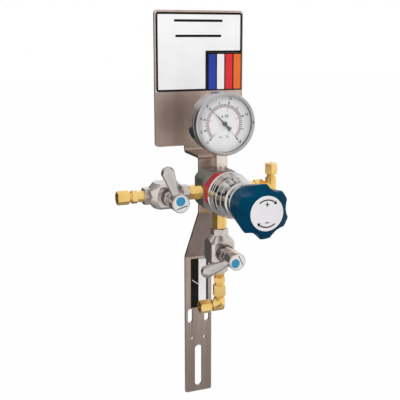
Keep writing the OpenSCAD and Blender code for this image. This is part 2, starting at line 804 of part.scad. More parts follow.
module valve_body() {
    half = valve_len / 2;
    foot = valve_hex / 2;
    corner = block_w / sqrt(2);
    rise = corner - foot;
    color("silver") difference() {
        union() {
            rotate([0, 90, 0]) translate([0, 0, -half]) rotate([0, 0, 30]) hex_bar(valve_hex, valve_len);
            intersection() {
                translate([-block_half, 0, 0]) rotate([0, 90, 0]) linear_extrude(2 * block_half) polygon([
                    for (s = [[1, 1], [-1, 1], [-1, -1], [1, -1]])
                        each s[0] * s[1] > 0
                            ? [[s[0] * block_w / 2, s[1] * (block_w / 2 - block_chamfer)],
                               [s[0] * (block_w / 2 - block_chamfer), s[1] * block_w / 2]]
                            : [[s[0] * (block_w / 2 - block_chamfer), s[1] * block_w / 2],
                               [s[0] * block_w / 2, s[1] * (block_w / 2 - block_chamfer)]]
                ]);
                rotate([0, 90, 0]) rotate_extrude() polygon([
                    [0, -block_half], [foot, -block_half], [corner, -block_half + rise],
                    [corner, block_half - rise], [foot, block_half], [0, block_half]
                ]);
            }
            forward(0) cylinder(h = -bonnet_back, r = boss_r);
        }
        forward(cavity_floor) cylinder(h = cavity_floor - bonnet_back + 1, r = cavity_r);
        difference() {
            forward(bonnet_back + groove_depth) cylinder(h = groove_depth + 1, r = vbonnet_r + groove_w);
            forward(bonnet_back + 2 * groove_depth) cylinder(h = 3 * groove_depth, r = vbonnet_r);
        }
        for (s = [-1, 1]) rotate([0, s * 90, 0])
            translate([0, 0, half - valve_thread]) cylinder(h = valve_thread + 1, r = pipe_r);
        translate([-half, 0, 0]) rotate([0, 90, 0]) cylinder(h = half + flow_r, r = flow_r);
        translate([web_x, 0, 0]) rotate([0, 90, 0]) cylinder(h = half, r = flow_r);
        forward(0) cylinder(h = 1 - cavity_floor, r = valve_port_r);
        translate([web_x + flow_r, 0, 0]) forward(0) cylinder(h = 1 - cavity_floor, r = return_r);
    }
}

module valve_bonnet() {
    color("silver") difference() {
        union() {
            forward(bonnet_back) cylinder(h = vbonnet_len, r = vbonnet_r);
            forward(seat_plane - membrane_t) cylinder(h = seat_plane - membrane_t - bonnet_back, r = cavity_r);
        }
        forward(seat_plane + 1) cylinder(h = seat_plane + 1 - stem_back, r = plunger_r + fit);
        forward(stem_back + free) cylinder(h = vbonnet_len, r = stem_r + fit);
    }
}

module valve_diaphragm() {
    color("silver") difference() {
        union() {
            forward(seat_plane) cylinder(h = membrane_t, r = cavity_r);
            difference() {
                forward(cavity_floor) cylinder(h = cavity_floor - seat_plane, r = cavity_r);
                forward(cavity_floor + 1) cylinder(h = 4, r = cavity_r - 1);
            }
        }
    }
}

module valve_plunger() {
    back = seat_plane - membrane_t - free;
    front = stem_back + plunger_travel + free;
    color("gray") forward(back) cylinder(h = back - front, r = plunger_r);
}

module valve_stem() {
    color("gray") {
        forward(stem_back) cylinder(h = stem_back - hub_back, r = stem_r);
        forward(hub_back) cylinder(h = hub_len - cap_t, r = stem_end_r);
    }
}

module handle(angle) {
    color("lightgray") rotate([0, -angle, 0]) difference() {
        union() {
            forward(hub_back) cylinder(h = hub_len, r = hub_r);
            translate([0, lever_y, 0]) rotate([-lever_lean, 0, 0]) {
                reach = lever_len / cos(lever_lean);
                translate([0, 0, 3]) cylinder(h = reach - 3, r1 = lever_root_r, r2 = lever_end_r);
                translate([0, 0, reach]) sphere(r = lever_end_r);
            }
        }
        forward(hub_back + 1) cylinder(h = hub_len - cap_t + 1, r = stem_end_r);
        translate([-line_len / 2, hub_front - line_t, -line_d - line_t / 2])
            cube([line_len, 2 * line_t, line_t]);
    }
}

module handle_spot(angle) {
    color("steelblue") rotate([0, -angle, 0]) translate([0, 0, spot_off])
        forward(hub_front) cylinder(h = 0.5, r = spot_r);
}

module at_inlet() translate([inlet_valve_x, port_y, axis_z]) children();
module at_outlet() translate([0, port_y, outlet_valve_z]) children();

// Tube fittings, drawn along +Z away from the piece that carries them
module nipple(flats, length) {
    difference() {
        union() {
            hex_bar(flats, length);
            translate([0, 0, -pipe_thread]) cylinder(h = length + 2 * pipe_thread, r = pipe_r);
        }
        translate([0, 0, -pipe_thread - 1]) cylinder(h = length + 2 * pipe_thread + 2, r = flow_r);
    }
}

// How far the hexagons are turned about their own axes, as the threads happened to stop
inlet_nipple_turn = 30;
inlet_nut_turn = 10;
outlet_nipple_turn = 8.6;
outlet_connector_turn = -10;
union_nut_turn = -18.6;
relief_cap_turn = 8.6;

hex_at = connector_seat;
neck_at = connector_seat + connector_hex_len;
nut_at = neck_at + thread_show;

module connector() {
    straight = connector_seat * 0.4;
    face = connector_hex / 2;
    difference() {
        union() {
            translate([0, 0, -pipe_thread]) cylinder(h = pipe_thread + 1, r = pipe_r);
            cylinder(h = nut_at + 6, r = nut_thread_r);
            cylinder(h = straight, r = face);
            translate([0, 0, straight]) cylinder(h = connector_seat - straight, r1 = face, r2 = nut_thread_r);
            translate([0, 0, hex_at]) hex_bar(connector_hex, connector_hex_len);
        }
        translate([0, 0, -pipe_thread - 1]) cylinder(h = pipe_thread + nut_at + 8, r = flow_r);
        translate([0, 0, nut_at + 1]) cylinder(h = 6, r = bore_r);
    }
}

// The compression nut starts at z = 0 on its threaded side
module tube_nut() {
    difference() {
        hex_bar(nut_hex, nut_len);
        translate([0, 0, -1]) cylinder(h = nut_len - 2, r = nut_thread_r);
        cylinder(h = nut_len + 1, r = bore_r);
    }
}

module ferrules() {
    difference() {
        union() {
            translate([0, 0, 6]) cylinder(h = 1.7, r1 = nut_thread_r - 0.3, r2 = nut_thread_r - 0.9);
            translate([0, 0, 7.7]) cylinder(h = nut_len - 3 - 7.7, r1 = nut_thread_r - 0.9, r2 = nut_thread_r - 0.1);
        }
        cylinder(h = nut_len + 1, r = bore_r);
    }
}

module at_inlet_end() translate([inlet_end_x, port_y, axis_z]) rotate([0, -90, 0]) children();
module at_outlet_end() translate([0, port_y, outlet_end_z]) rotate([180, 0, 0]) children();

module inlet_nipple() color("goldenrod")
    translate([-body_flat, port_y, axis_z]) rotate([0, -90, 0])
        rotate([0, 0, inlet_nipple_turn]) nipple(nipple_hex, inlet_nipple_len);
module inlet_connector() color("goldenrod") at_inlet_end() connector();
module inlet_nut() color("darkgoldenrod") at_inlet_end() translate([0, 0, nut_at])
    rotate([0, 0, inlet_nut_turn]) tube_nut();
module inlet_ferrules() color("silver") at_inlet_end() translate([0, 0, nut_at]) ferrules();
module outlet_nipple() color("goldenrod") translate([0, port_y, axis_z - body_flat])
    rotate([180, 0, -outlet_nipple_turn]) nipple(nipple_hex, outlet_nipple_len);
module outlet_connector() color("goldenrod") at_outlet_end()
    rotate([0, 0, outlet_connector_turn]) connector();
module outlet_union_nut() color("darkgoldenrod") at_outlet_end() translate([0, 0, nut_at])
    rotate([0, 0, union_nut_turn]) tube_nut();
module outlet_union_ferrules() color("silver") at_outlet_end() translate([0, 0, nut_at]) ferrules();

// The elbow's middle, under the union nut
stub_len = thread_show + nut_len - 2;
elbow_z = outlet_end_z - nut_at - nut_len - thread_show - elbow_arm;

// An eight-sided length of the elbow along +Z
module elbow_prism(from, to) translate([0, 0, from]) rotate([0, 0, 22.5])
    cylinder(h = to - from, r = elbow_r / cos(22.5), $fn = 8);

module outlet_elbow() {
    color("goldenrod") translate([0, port_y, elbow_z]) difference() {
        union() {
            intersection() {
                elbow_prism(-elbow_r, elbow_r);
                rotate([0, -90, 0]) elbow_prism(-elbow_r, elbow_r);
            }
            elbow_prism(0, elbow_arm);
            rotate([0, -90, 0]) elbow_prism(0, elbow_arm);
            cylinder(h = elbow_arm + stub_len - 3, r = tube_d / 2);
            rotate([0, -90, 0]) cylinder(h = elbow_arm + thread_show + 6, r = nut_thread_r);
        }
        cylinder(h = elbow_arm + stub_len, r = flow_r);
        rotate([0, -90, 0]) cylinder(h = elbow_arm + thread_show + 7, r = flow_r);
        rotate([0, -90, 0]) translate([0, 0, elbow_arm + thread_show + 1]) cylinder(h = 6, r = bore_r);
    }
}

module at_elbow_end() translate([-elbow_arm - thread_show, port_y, elbow_z]) rotate([0, -90, 0]) children();
module outlet_nut() color("darkgoldenrod") at_elbow_end() rotate([0, 0, inlet_nut_turn]) tube_nut();
module outlet_ferrules() color("silver") at_elbow_end() ferrules();

// Relief valve
relief_hex_x = relief_x - relief_hex_gap - relief_hex_len;
cap_z = relief_high + relief_neck;
relief_bore = 3.4;
relief_seat = 2;
relief_stub_r = 3.4;
relief_stub_end = relief_r - 2;
cap_roof = 2;
vent_r = 1.6;

module at_relief() translate([relief_x, port_y, axis_z]) children();

module relief_nipple() {
    color("goldenrod") translate([0, port_y, axis_z]) difference() {
        union() {
            translate([body_flat - pipe_thread, 0, 0]) rotate([0, 90, 0])
                cylinder(h = relief_hex_x + pipe_thread - body_flat, r = pipe_r);
            translate([body_flat, 0, 0]) rotate([0, 90, 0])
                cylinder(h = relief_hex_x - body_flat, r = relief_shoulder_r);
            translate([relief_hex_x, 0, 0]) rotate([0, 90, 0]) hex_bar(nipple_hex, relief_hex_len);
            translate([relief_hex_x, 0, 0]) rotate([0, 90, 0])
                cylinder(h = relief_hex_len + relief_hex_gap - relief_stub_end, r = relief_stub_r);
        }
        translate([body_flat - pipe_thread - 1, 0, 0]) rotate([0, 90, 0]) cylinder(h = relief_x, r = flow_r);
    }
}

module relief_body() {
    color("goldenrod") at_relief() difference() {
        union() {
            translate([0, 0, -relief_low]) cylinder(h = relief_low + relief_high, r = relief_r);
            translate([0, 0, relief_high]) cylinder(h = relief_neck + 6, r = relief_neck_r);
            rotate([0, -90, 0]) cylinder(h = relief_hex_gap, r = relief_arm_r);
        }
        rotate([0, -90, 0]) cylinder(h = relief_r, r = flow_r);
        rotate([0, -90, 0]) translate([0, 0, relief_stub_end]) cylinder(h = relief_hex_gap, r = relief_stub_r);
        translate([0, 0, -6]) cylinder(h = 9, r = flow_r);
        translate([0, 0, relief_seat]) cylinder(h = cap_z + 6, r = relief_bore);
    }
}

module relief_cap() {
    color("goldenrod") at_relief() difference() {
        translate([0, 0, cap_z]) rotate([0, 0, relief_cap_turn]) hex_bar(relief_cap_hex, relief_cap_h);
        translate([0, 0, cap_z - 1]) cylinder(h = 7, r = relief_neck_r);
        translate([0, 0, cap_z - 1]) cylinder(h = relief_cap_h + 1 - cap_roof, r = relief_bore);
        translate([0, 0, cap_z]) cylinder(h = relief_cap_h + 1, r = vent_r);
    }
}

module relief_poppet() {
    color("gray") at_relief() translate([0, 0, relief_seat]) {
        cylinder(h = 3, r = relief_bore - fit);
        cylinder(h = 6, r = 1.6);
    }
}

module relief_spring() {
    foot = relief_seat + 3;
    color("silver") at_relief() translate([0, 0, foot])
        spring(2.5, 0.4, cap_z + relief_cap_h - cap_roof - foot, 6);
}

bracket();
sign_panel();
colour_tag();
strip_label();
mounting_screws();
regulator_body();
collar();
seat_ring();
main_poppet();
poppet_spring();
diaphragm();
diaphragm_plate();
bonnet();
range_spring();
spring_button();
adjusting_screw();
knob();
knob_disc();
gauge_socket();
gauge_case();
gauge_bezel();
gauge_gasket();
gauge_lens();
gauge_dial();
gauge_pointer();
gauge_movement();
gauge_sector();
bourdon_tube();
dial_screws();
gauge_plug();
at_inlet() valve_body();  // inlet_valve_body
at_inlet() valve_bonnet();  // inlet_valve_bonnet
at_inlet() valve_diaphragm();  // inlet_valve_diaphragm
at_inlet() valve_plunger();  // inlet_valve_plunger
at_inlet() valve_stem();  // inlet_valve_stem
at_inlet() handle(inlet_angle);  // inlet_handle
at_inlet() handle_spot(inlet_angle);  // inlet_handle_spot
at_outlet() rotate([0, 90, 0]) valve_body();  // outlet_valve_body
at_outlet() valve_bonnet();  // outlet_valve_bonnet
at_outlet() valve_diaphragm();  // outlet_valve_diaphragm
at_outlet() valve_plunger();  // outlet_valve_plunger
at_outlet() valve_stem();  // outlet_valve_stem
at_outlet() handle(outlet_angle);  // outlet_handle
at_outlet() handle_spot(outlet_angle);  // outlet_handle_spot
inlet_nipple();
inlet_connector();
inlet_nut();
inlet_ferrules();
outlet_nipple();
outlet_connector();
outlet_union_nut();
outlet_union_ferrules();
outlet_elbow();
outlet_nut();
outlet_ferrules();
relief_nipple();
relief_body();
relief_cap();
relief_poppet();
relief_spring();
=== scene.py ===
# Gas regulator panel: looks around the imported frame. Everything is in metres.
import bpy
import bmesh
import json
import math
from mathutils import Matrix, Vector


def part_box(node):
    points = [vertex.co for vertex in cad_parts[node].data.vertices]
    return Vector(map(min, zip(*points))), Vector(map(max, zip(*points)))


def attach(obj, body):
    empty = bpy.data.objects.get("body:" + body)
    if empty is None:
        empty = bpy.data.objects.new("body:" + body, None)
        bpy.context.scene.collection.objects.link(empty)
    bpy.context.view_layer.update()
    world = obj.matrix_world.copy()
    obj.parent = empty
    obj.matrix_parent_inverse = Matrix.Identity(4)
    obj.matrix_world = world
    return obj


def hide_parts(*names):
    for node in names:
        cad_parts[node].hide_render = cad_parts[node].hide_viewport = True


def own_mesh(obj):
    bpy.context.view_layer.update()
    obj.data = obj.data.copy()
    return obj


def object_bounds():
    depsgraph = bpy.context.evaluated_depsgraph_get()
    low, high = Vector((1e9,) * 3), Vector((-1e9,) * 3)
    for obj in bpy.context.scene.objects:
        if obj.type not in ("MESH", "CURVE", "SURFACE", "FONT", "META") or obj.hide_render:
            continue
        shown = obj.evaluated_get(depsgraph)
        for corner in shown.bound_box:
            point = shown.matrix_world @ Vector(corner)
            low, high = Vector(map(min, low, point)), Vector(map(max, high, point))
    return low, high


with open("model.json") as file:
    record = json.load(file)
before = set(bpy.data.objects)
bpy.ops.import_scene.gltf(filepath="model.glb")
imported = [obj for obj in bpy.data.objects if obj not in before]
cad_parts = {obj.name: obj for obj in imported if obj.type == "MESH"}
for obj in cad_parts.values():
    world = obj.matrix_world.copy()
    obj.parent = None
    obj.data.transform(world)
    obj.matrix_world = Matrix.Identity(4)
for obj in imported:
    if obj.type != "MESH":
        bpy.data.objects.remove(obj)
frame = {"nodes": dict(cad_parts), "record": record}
cadLow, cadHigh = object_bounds()
nodes = frame["nodes"]
bodyOf = {n: b for b, members in frame["record"]["behaviour"]["bodies"].items() for n in members}
slotOf = {s["node"]: s["material_slot"] for s in frame["record"]["subparts"]}
mm = 0.001
forward = Vector((0, -1, 0))  # from the wall towards the viewer
print("frame loaded:", len(nodes), "nodes")


# Camera, as the photograph was taken
view = {
    "place": (-0.2936, -0.7575, 0.3550),
    "yaw": 21.39,      # degrees to the right of straight at the wall
    "pitch": 10.75,    # degrees down
    "lens": 64.92,
    "shiftY": -0.07,
}


def addCamera():
    data = bpy.data.cameras.new("camera")
    data.lens = view["lens"]
    data.sensor_width = 36
    data.shift_y = view["shiftY"]
    camera = bpy.data.objects.new("camera", data)
    bpy.context.scene.collection.objects.link(camera)
    camera.location = view["place"]
    camera.rotation_euler = (math.radians(90 - view["pitch"]), 0, math.radians(-view["yaw"]))
    bpy.context.scene.camera = camera


# Materials
def newMaterial(name):
    material = bpy.data.materials.new(name)
    material.use_nodes = True
    tree = material.node_tree
    return material, tree, tree.nodes["Principled BSDF"]


def objectNoise(tree, scale, detail=3.0, stretch=(1, 1, 1)):
    coords = tree.nodes.new("ShaderNodeTexCoord")
    mapping = tree.nodes.new("ShaderNodeMapping")
    mapping.inputs["Scale"].default_value = stretch
    noise = tree.nodes.new("ShaderNodeTexNoise")
    noise.inputs["Scale"].default_value = scale
    noise.inputs["Detail"].default_value = detail
    tree.links.new(coords.outputs["Object"], mapping.inputs["Vector"])
    tree.links.new(mapping.outputs["Vector"], noise.inputs["Vector"])
    return noise


def mapRange(tree, source, low, high):
    node = tree.nodes.new("ShaderNodeMapRange")
    node.inputs["To Min"].default_value = low
    node.inputs["To Max"].default_value = high
    tree.links.new(source, node.inputs["Value"])
    return node.outputs["Result"]


def colourBetween(tree, source, first, second):
    ramp = tree.nodes.new("ShaderNodeValToRGB")
    ramp.color_ramp.elements[0].position = 0.3
    ramp.color_ramp.elements[1].position = 0.7
    ramp.color_ramp.elements[0].color = (*first, 1)
    ramp.color_ramp.elements[1].color = (*second, 1)
    tree.links.new(source, ramp.inputs["Fac"])
    return ramp.outputs["Color"]


def addBump(tree, shader, source, strength, distance):
    bump = tree.nodes.new("ShaderNodeBump")
    bump.inputs["Strength"].default_value = strength
    bump.inputs["Distance"].default_value = distance
    tree.links.new(source, bump.inputs["Height"])
    tree.links.new(bump.outputs["Normal"], shader.inputs["Normal"])


# A satin finish scatters some light, so its metal share is under 1. More patches make the changes of colour
# finer.
def metal(name, dark, light, roughness, grain=900, stretch=(1, 1, 1), bump=0.08, share=1.0, patches=60):
    material, tree, shader = newMaterial(name)
    shader.inputs["Metallic"].default_value = share
    blotches = objectNoise(tree, patches, 3, stretch)
    lines = objectNoise(tree, grain, 2, stretch)
    tree.links.new(colourBetween(tree, blotches.outputs["Fac"], dark, light), shader.inputs["Base Color"])
    tree.links.new(mapRange(tree, lines.outputs["Fac"], *roughness), shader.inputs["Roughness"])
    addBump(tree, shader, lines.outputs["Fac"], bump, 0.0002)
    return material


# How much light a surface throws back grows with bend, its index of refraction
def plastic(name, dark, light, roughness, grain=700, bump=0.1, coat=0.0, bend=1.5):
    material, tree, shader = newMaterial(name)
    shader.inputs["IOR"].default_value = bend
    shader.inputs["Coat Weight"].default_value = coat
    shader.inputs["Coat Roughness"].default_value = 0.15
    blotches = objectNoise(tree, 40, 4)
    fine = objectNoise(tree, grain, 4)
    tree.links.new(colourBetween(tree, blotches.outputs["Fac"], dark, light), shader.inputs["Base Color"])
    tree.links.new(mapRange(tree, fine.outputs["Fac"], *roughness), shader.inputs["Roughness"])
    addBump(tree, shader, fine.outputs["Fac"], bump, 0.0001)
    return material


def glass(name):
    material, tree, shader = newMaterial(name)
    shader.inputs["Base Color"].default_value = (0.95, 0.97, 0.97, 1)
    shader.inputs["Alpha"].default_value = 0.07
    shader.inputs["Specular IOR Level"].default_value = 0.5
    smudges = objectNoise(tree, 90, 2)
    tree.links.new(mapRange(tree, smudges.outputs["Fac"], 0.02, 0.07), shader.inputs["Roughness"])
    return material


upright = (1, 1, 0.02)  # stretches a grain along Z
finish = {
    "plated_steel": metal("brushedSheet", (0.54, 0.425, 0.37), (0.66, 0.53, 0.47), (0.33, 0.44), 2600,
                          upright, 0.06, patches=170),
    "screw_steel": metal("screwSteel", (0.42, 0.41, 0.4), (0.55, 0.54, 0.53), (0.25, 0.4)),
    "steel": metal("springSteel", (0.5, 0.5, 0.5), (0.62, 0.62, 0.62), (0.18, 0.3)),
    "body_nickel": metal("bodyNickel", (0.3, 0.3, 0.28), (0.4, 0.4, 0.365), (0.36, 0.48), share=0.85),
    "bonnet_nickel": metal("polishedNickel", (0.62, 0.61, 0.6), (0.72, 0.71, 0.69), (0.05, 0.09), 400,
                           bump=0.02),
    "valve_nickel": metal("satinNickel", (0.6, 0.535, 0.515), (0.7, 0.63, 0.6), (0.13, 0.2), bump=0.02,
                          share=0.9),
    "collar_red": plastic("redPaint", (0.42, 0.008, 0.018), (0.52, 0.012, 0.025), (0.26, 0.36), 500,
                         bend=1.4),
    "brass": metal("brass", (0.9, 0.57, 0.165), (0.99, 0.71, 0.28), (0.15, 0.26), share=0.93),
    "bronze": metal("bronze", (0.5, 0.32, 0.18), (0.62, 0.42, 0.26), (0.25, 0.4)),
    "case_steel": metal("caseSteel", (0.34, 0.3, 0.28), (0.45, 0.4, 0.375), (0.2, 0.3), share=0.85),
    "bezel_steel": metal("bezelSteel", (0.5, 0.485, 0.49), (0.59, 0.57, 0.575), (0.26, 0.36)),
    "knob_blue": plastic("knobBlue", (0.0, 0.036, 0.082), (0.0, 0.05, 0.104), (0.26, 0.32), 500, 0.03,
                         bend=1.1),
    "disc_white": plastic("discWhite", (0.8, 0.78, 0.8), (0.88, 0.86, 0.88), (0.3, 0.4)),
    "spot_blue": plastic("spotBlue", (0.0, 0.22, 0.42), (0.0, 0.3, 0.5), (0.1, 0.18), 300, 0.02, 0.6),
    "sign_white": plastic("signWhite", (0.86, 0.86, 0.87), (0.92, 0.92, 0.92), (0.3, 0.42)),
    "tag_orange": plastic("tagOrange", (0.75, 0.12, 0.01), (0.85, 0.17, 0.02), (0.28, 0.38)),
    "label_black": plastic("labelBlack", (0.006, 0.005, 0.005), (0.014, 0.012, 0.012), (0.3, 0.42),
                           bend=1.2),
    "dial_white": plastic("dialWhite", (0.9, 0.885, 0.89), (0.95, 0.935, 0.94), (0.45, 0.55)),
    "pointer_black": plastic("pointerBlack", (0.01, 0.01, 0.012), (0.024, 0.024, 0.028), (0.4, 0.5),
                             bend=1.25),
    "rubber_black": plastic("rubber", (0.012, 0.012, 0.012), (0.03, 0.03, 0.03), (0.5, 0.65)),
    "glass": glass("lensGlass"),
}
tagRed = plastic("tagRed", (0.62, 0.01, 0.015), (0.74, 0.015, 0.02), (0.28, 0.38))
tagBlue = plastic("tagBlue", (0.004, 0.03, 0.3), (0.006, 0.045, 0.4), (0.28, 0.38))
stemAlloy = metal("stemAlloy", (0.86, 0.73, 0.66), (0.95, 0.84, 0.78), (0.2, 0.32))
leverSatin = metal("leverSatin", (0.56, 0.52, 0.5), (0.64, 0.6, 0.575), (0.14, 0.22), share=0.92)
hubFace = metal("hubFace", (0.88, 0.87, 0.87), (0.95, 0.94, 0.94), (0.4, 0.5))
# Painted shade: a dark steel for the ring at a valve sleeve's foot, where the groove lies in shade
paintedFootShade = metal("paintedFootShade", (0.13, 0.1, 0.095), (0.2, 0.16, 0.15), (0.16, 0.24))
dialRose = plastic("dialRose", (0.6, 0.36, 0.38), (0.68, 0.44, 0.46), (0.45, 0.55))
print("materials made")


# Broad faces pull the shading, so that they stay flat beside their broken edges
def weightedNormals(bm):
    for v in bm.verts:
        pull = Vector((0, 0, 0))
        for f in v.link_faces:
            pull += f.normal * f.calc_area()
        yield pull.normalized() if pull.length > 0 else v.normal.copy()


def finishMesh(bm, name, body, slotName, material=None, angle=32):
    mesh = bpy.data.meshes.new(name)
    bmesh.ops.remove_doubles(bm, verts=bm.verts, dist=0.001 * mm)
    bmesh.ops.recalc_face_normals(bm, faces=bm.faces)
    normals = None if angle else list(weightedNormals(bm))
    bm.to_mesh(mesh)
    bm.free()
    mesh.polygons.foreach_set("use_smooth", [True] * len(mesh.polygons))
    if normals:
        mesh.normals_split_custom_set_from_vertices(normals)
    else:
        mesh.set_sharp_from_angle(angle=math.radians(angle))
    mesh.materials.append(material or finish[slotName])
    piece = bpy.data.objects.new(name, mesh)
    bpy.context.scene.collection.objects.link(piece)
    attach(piece, body)
    return piece


def standIn(bm, name, node, material=None, angle=32):
    piece = finishMesh(bm, name, bodyOf[node], slotOf[node], material, angle)
    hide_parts(node)
    return piece


def centreOf(node):
    low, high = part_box(node)
    return (low + high) / 2


# The outer seam of a mitred elbow, which slants down to its lower right corner
def outerSeam(bm, node, reach):
    low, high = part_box(node)
    off = 0.02 * mm
    return [e for e in bm.edges if all(abs(high.x - v.co.x + low.z - v.co.z) < off and high.x - v.co.x < reach
                                       for v in e.verts)]


# A copy of a node whose machined edges are broken; bend rounds an elbow's outer seam first
def softened(node, name, width=0.25, sharp=28, material=None, bend=0):
    bm = bmesh.new()
    bm.from_mesh(nodes[node].data)
    bmesh.ops.remove_doubles(bm, verts=bm.verts, dist=0.002 * mm)
    bmesh.ops.dissolve_limit(bm, angle_limit=math.radians(0.6), verts=bm.verts, edges=bm.edges)
    if bend:
        bmesh.ops.bevel(bm, geom=outerSeam(bm, node, bend * 1.5 * mm), offset=bend * mm, offset_type="OFFSET",
                        affect="EDGES", segments=8, profile=0.5, material=-1, clamp_overlap=True)
    edges = [e for e in bm.edges if len(e.link_faces) == 2 and e.calc_face_angle() > math.radians(sharp)]
    bmesh.ops.bevel(bm, geom=edges, offset=width * mm, offset_type="OFFSET", affect="EDGES", segments=2,
                    profile=0.5, material=-1, clamp_overlap=True)
    return standIn(bm, name, node, material, angle=0)


# A path of [x, y, fillet] corners with its corners rounded, all in millimetres
def filleted(points, closed=True, steps=3):
    path = []
    for i, (x, y, *rest) in enumerate(points):
        here = Vector((x, y))
        if not rest or (not closed and i in (0, len(points) - 1)):
            path.append(here)
            continue
        toBefore = Vector(points[i - 1][:2]) - here
        toAfter = Vector(points[(i + 1) % len(points)][:2]) - here
        half = toBefore.angle(toAfter) / 2
        reach = min(rest[0] / math.tan(half), 0.45 * toBefore.length, 0.45 * toAfter.length)
        radius = reach * math.tan(half)
        u, v = toBefore.normalized(), toAfter.normalized()
        middle = here + (u + v).normalized() * radius / math.sin(half)
        first, last = here + u * reach - middle, here + v * reach - middle
        for k in range(steps + 1):
            path.append(middle + (first * (steps - k) + last * k).normalized() * radius)
    return path


# Corners given as steps from a radius and a distance
def shifted(points, radius, distance):
    return [(radius + r, distance + d, *fillet) for r, d, *fillet in points]


# Turns a path of (radius, distance along the axis) about an axis; adds it to the mesh
def turned(bm, origin, axis, points, closed=True, steps=96):
    axis = Vector(axis).normalized()
    side = axis.orthogonal().normalized()
    path = filleted(points, closed)
    verts = [bm.verts.new(origin + (side * p[0] + axis * p[1]) * mm) for p in path]
    edges = [bm.edges.new(pair) for pair in zip(verts, verts[1:])]
    if closed:
        edges.append(bm.edges.new((verts[-1], verts[0])))
    bmesh.ops.spin(bm, geom=verts + edges, cent=origin, axis=axis, dvec=(0, 0, 0), angle=2 * math.pi,
                   steps=steps, use_merge=True, use_duplicate=False)


# An outside thread: one pitch of its outline is wound about the axis, and both ends are cut flat and closed
def threaded(bm, origin, axis, radius, length, pitch=1.0, depth=0.55, around=40):
    axis = Vector(axis).normalized()
    side = axis.orthogonal().normalized()
    turns = math.ceil(length / pitch) + 2
    root = radius - depth
    # Radius and share of a pitch
    outline = [(root, -1), (radius, -0.64), (radius, -0.5), (root, -0.14), (root, 0)]
    verts = [bm.verts.new(origin + (side * r + axis * (at * pitch)) * mm) for r, at in outline]
    edges = [bm.edges.new(pair) for pair in zip(verts, verts[1:])]
    bmesh.ops.spin(bm, geom=verts + edges, cent=origin, axis=axis, dvec=axis * pitch / around * mm,
                   angle=2 * math.pi * turns, steps=around * turns, use_merge=False, use_duplicate=False)
    bmesh.ops.remove_doubles(bm, verts=bm.verts, dist=0.005 * mm)
    for at, facing in ((0, -axis), (length, axis)):
        bmesh.ops.bisect_plane(bm, geom=bm.verts[:] + bm.edges[:] + bm.faces[:],
                               plane_co=origin + axis * at * mm, plane_no=facing, clear_outer=True)
    bmesh.ops.holes_fill(bm, edges=[e for e in bm.edges if e.is_boundary])


# A thin upright plate inside a path of (x, z), or between two
def flatPlate(bm, outer, inner, front, depth):
    loops = [[bm.verts.new(Vector((x, front, z)) * mm) for x, z in path] for path in (outer, inner) if path]
    if inner:
        edges = [bm.edges.new((v, loop[i - 1])) for loop in loops for i, v in enumerate(loop)]
        faces = bmesh.ops.bridge_loops(bm, edges=edges)["faces"]
    else:
        faces = [bm.faces.new(loops[0])]
    pushed = bmesh.ops.extrude_face_region(bm, geom=faces)["geom"]
    backVerts = [v for v in pushed if isinstance(v, bmesh.types.BMVert)]
    bmesh.ops.translate(bm, verts=backVerts, vec=(0, depth * mm, 0))


def onCircle(radius, angle):
    return radius * math.cos(angle), radius * math.sin(angle)


# A flat bar with round corners, its middle at (x, z)
def barPath(x, z, width, height, corner=0.4, lean=0.0):
    c, s = math.cos(lean), math.sin(lean)
    w, h = width / 2, height / 2
    corners = [(-w, -h), (w, -h), (w, h), (-w, h)]
    return filleted([(x + u * c - v * s, z + u * s + v * c, corner) for u, v in corners])


def dress():
    for node, piece in nodes.items():
        piece.data.materials.clear()
        piece.data.materials.append(finish[slotOf[node]])


# Bracket and its screws
brokenEdges = {"bracket": 0.3, "mounting_screws": 0.2, "regulator_body": 0.5, "collar": 0.5}


def makeBracket():
    softened("bracket", "bracketSheet", brokenEdges["bracket"])
    softened("mounting_screws", "bracketScrews", brokenEdges["mounting_screws"])


# Sign: a black border, two bars, and four stripes on the tag
signSizes = {
    "borderWidth": 2.3, "borderCorner": 2.6, "tightCorner": 0.3, "tagGap": 0.1, "proud": 0.12,
    "lineWidths": (57, 54), "lineHeight": 2.6, "lineRise": (77.0, 60.5), "lineShift": -1.5,
    "stripeGap": 1.5, "stripeCorner": 0.5,
}


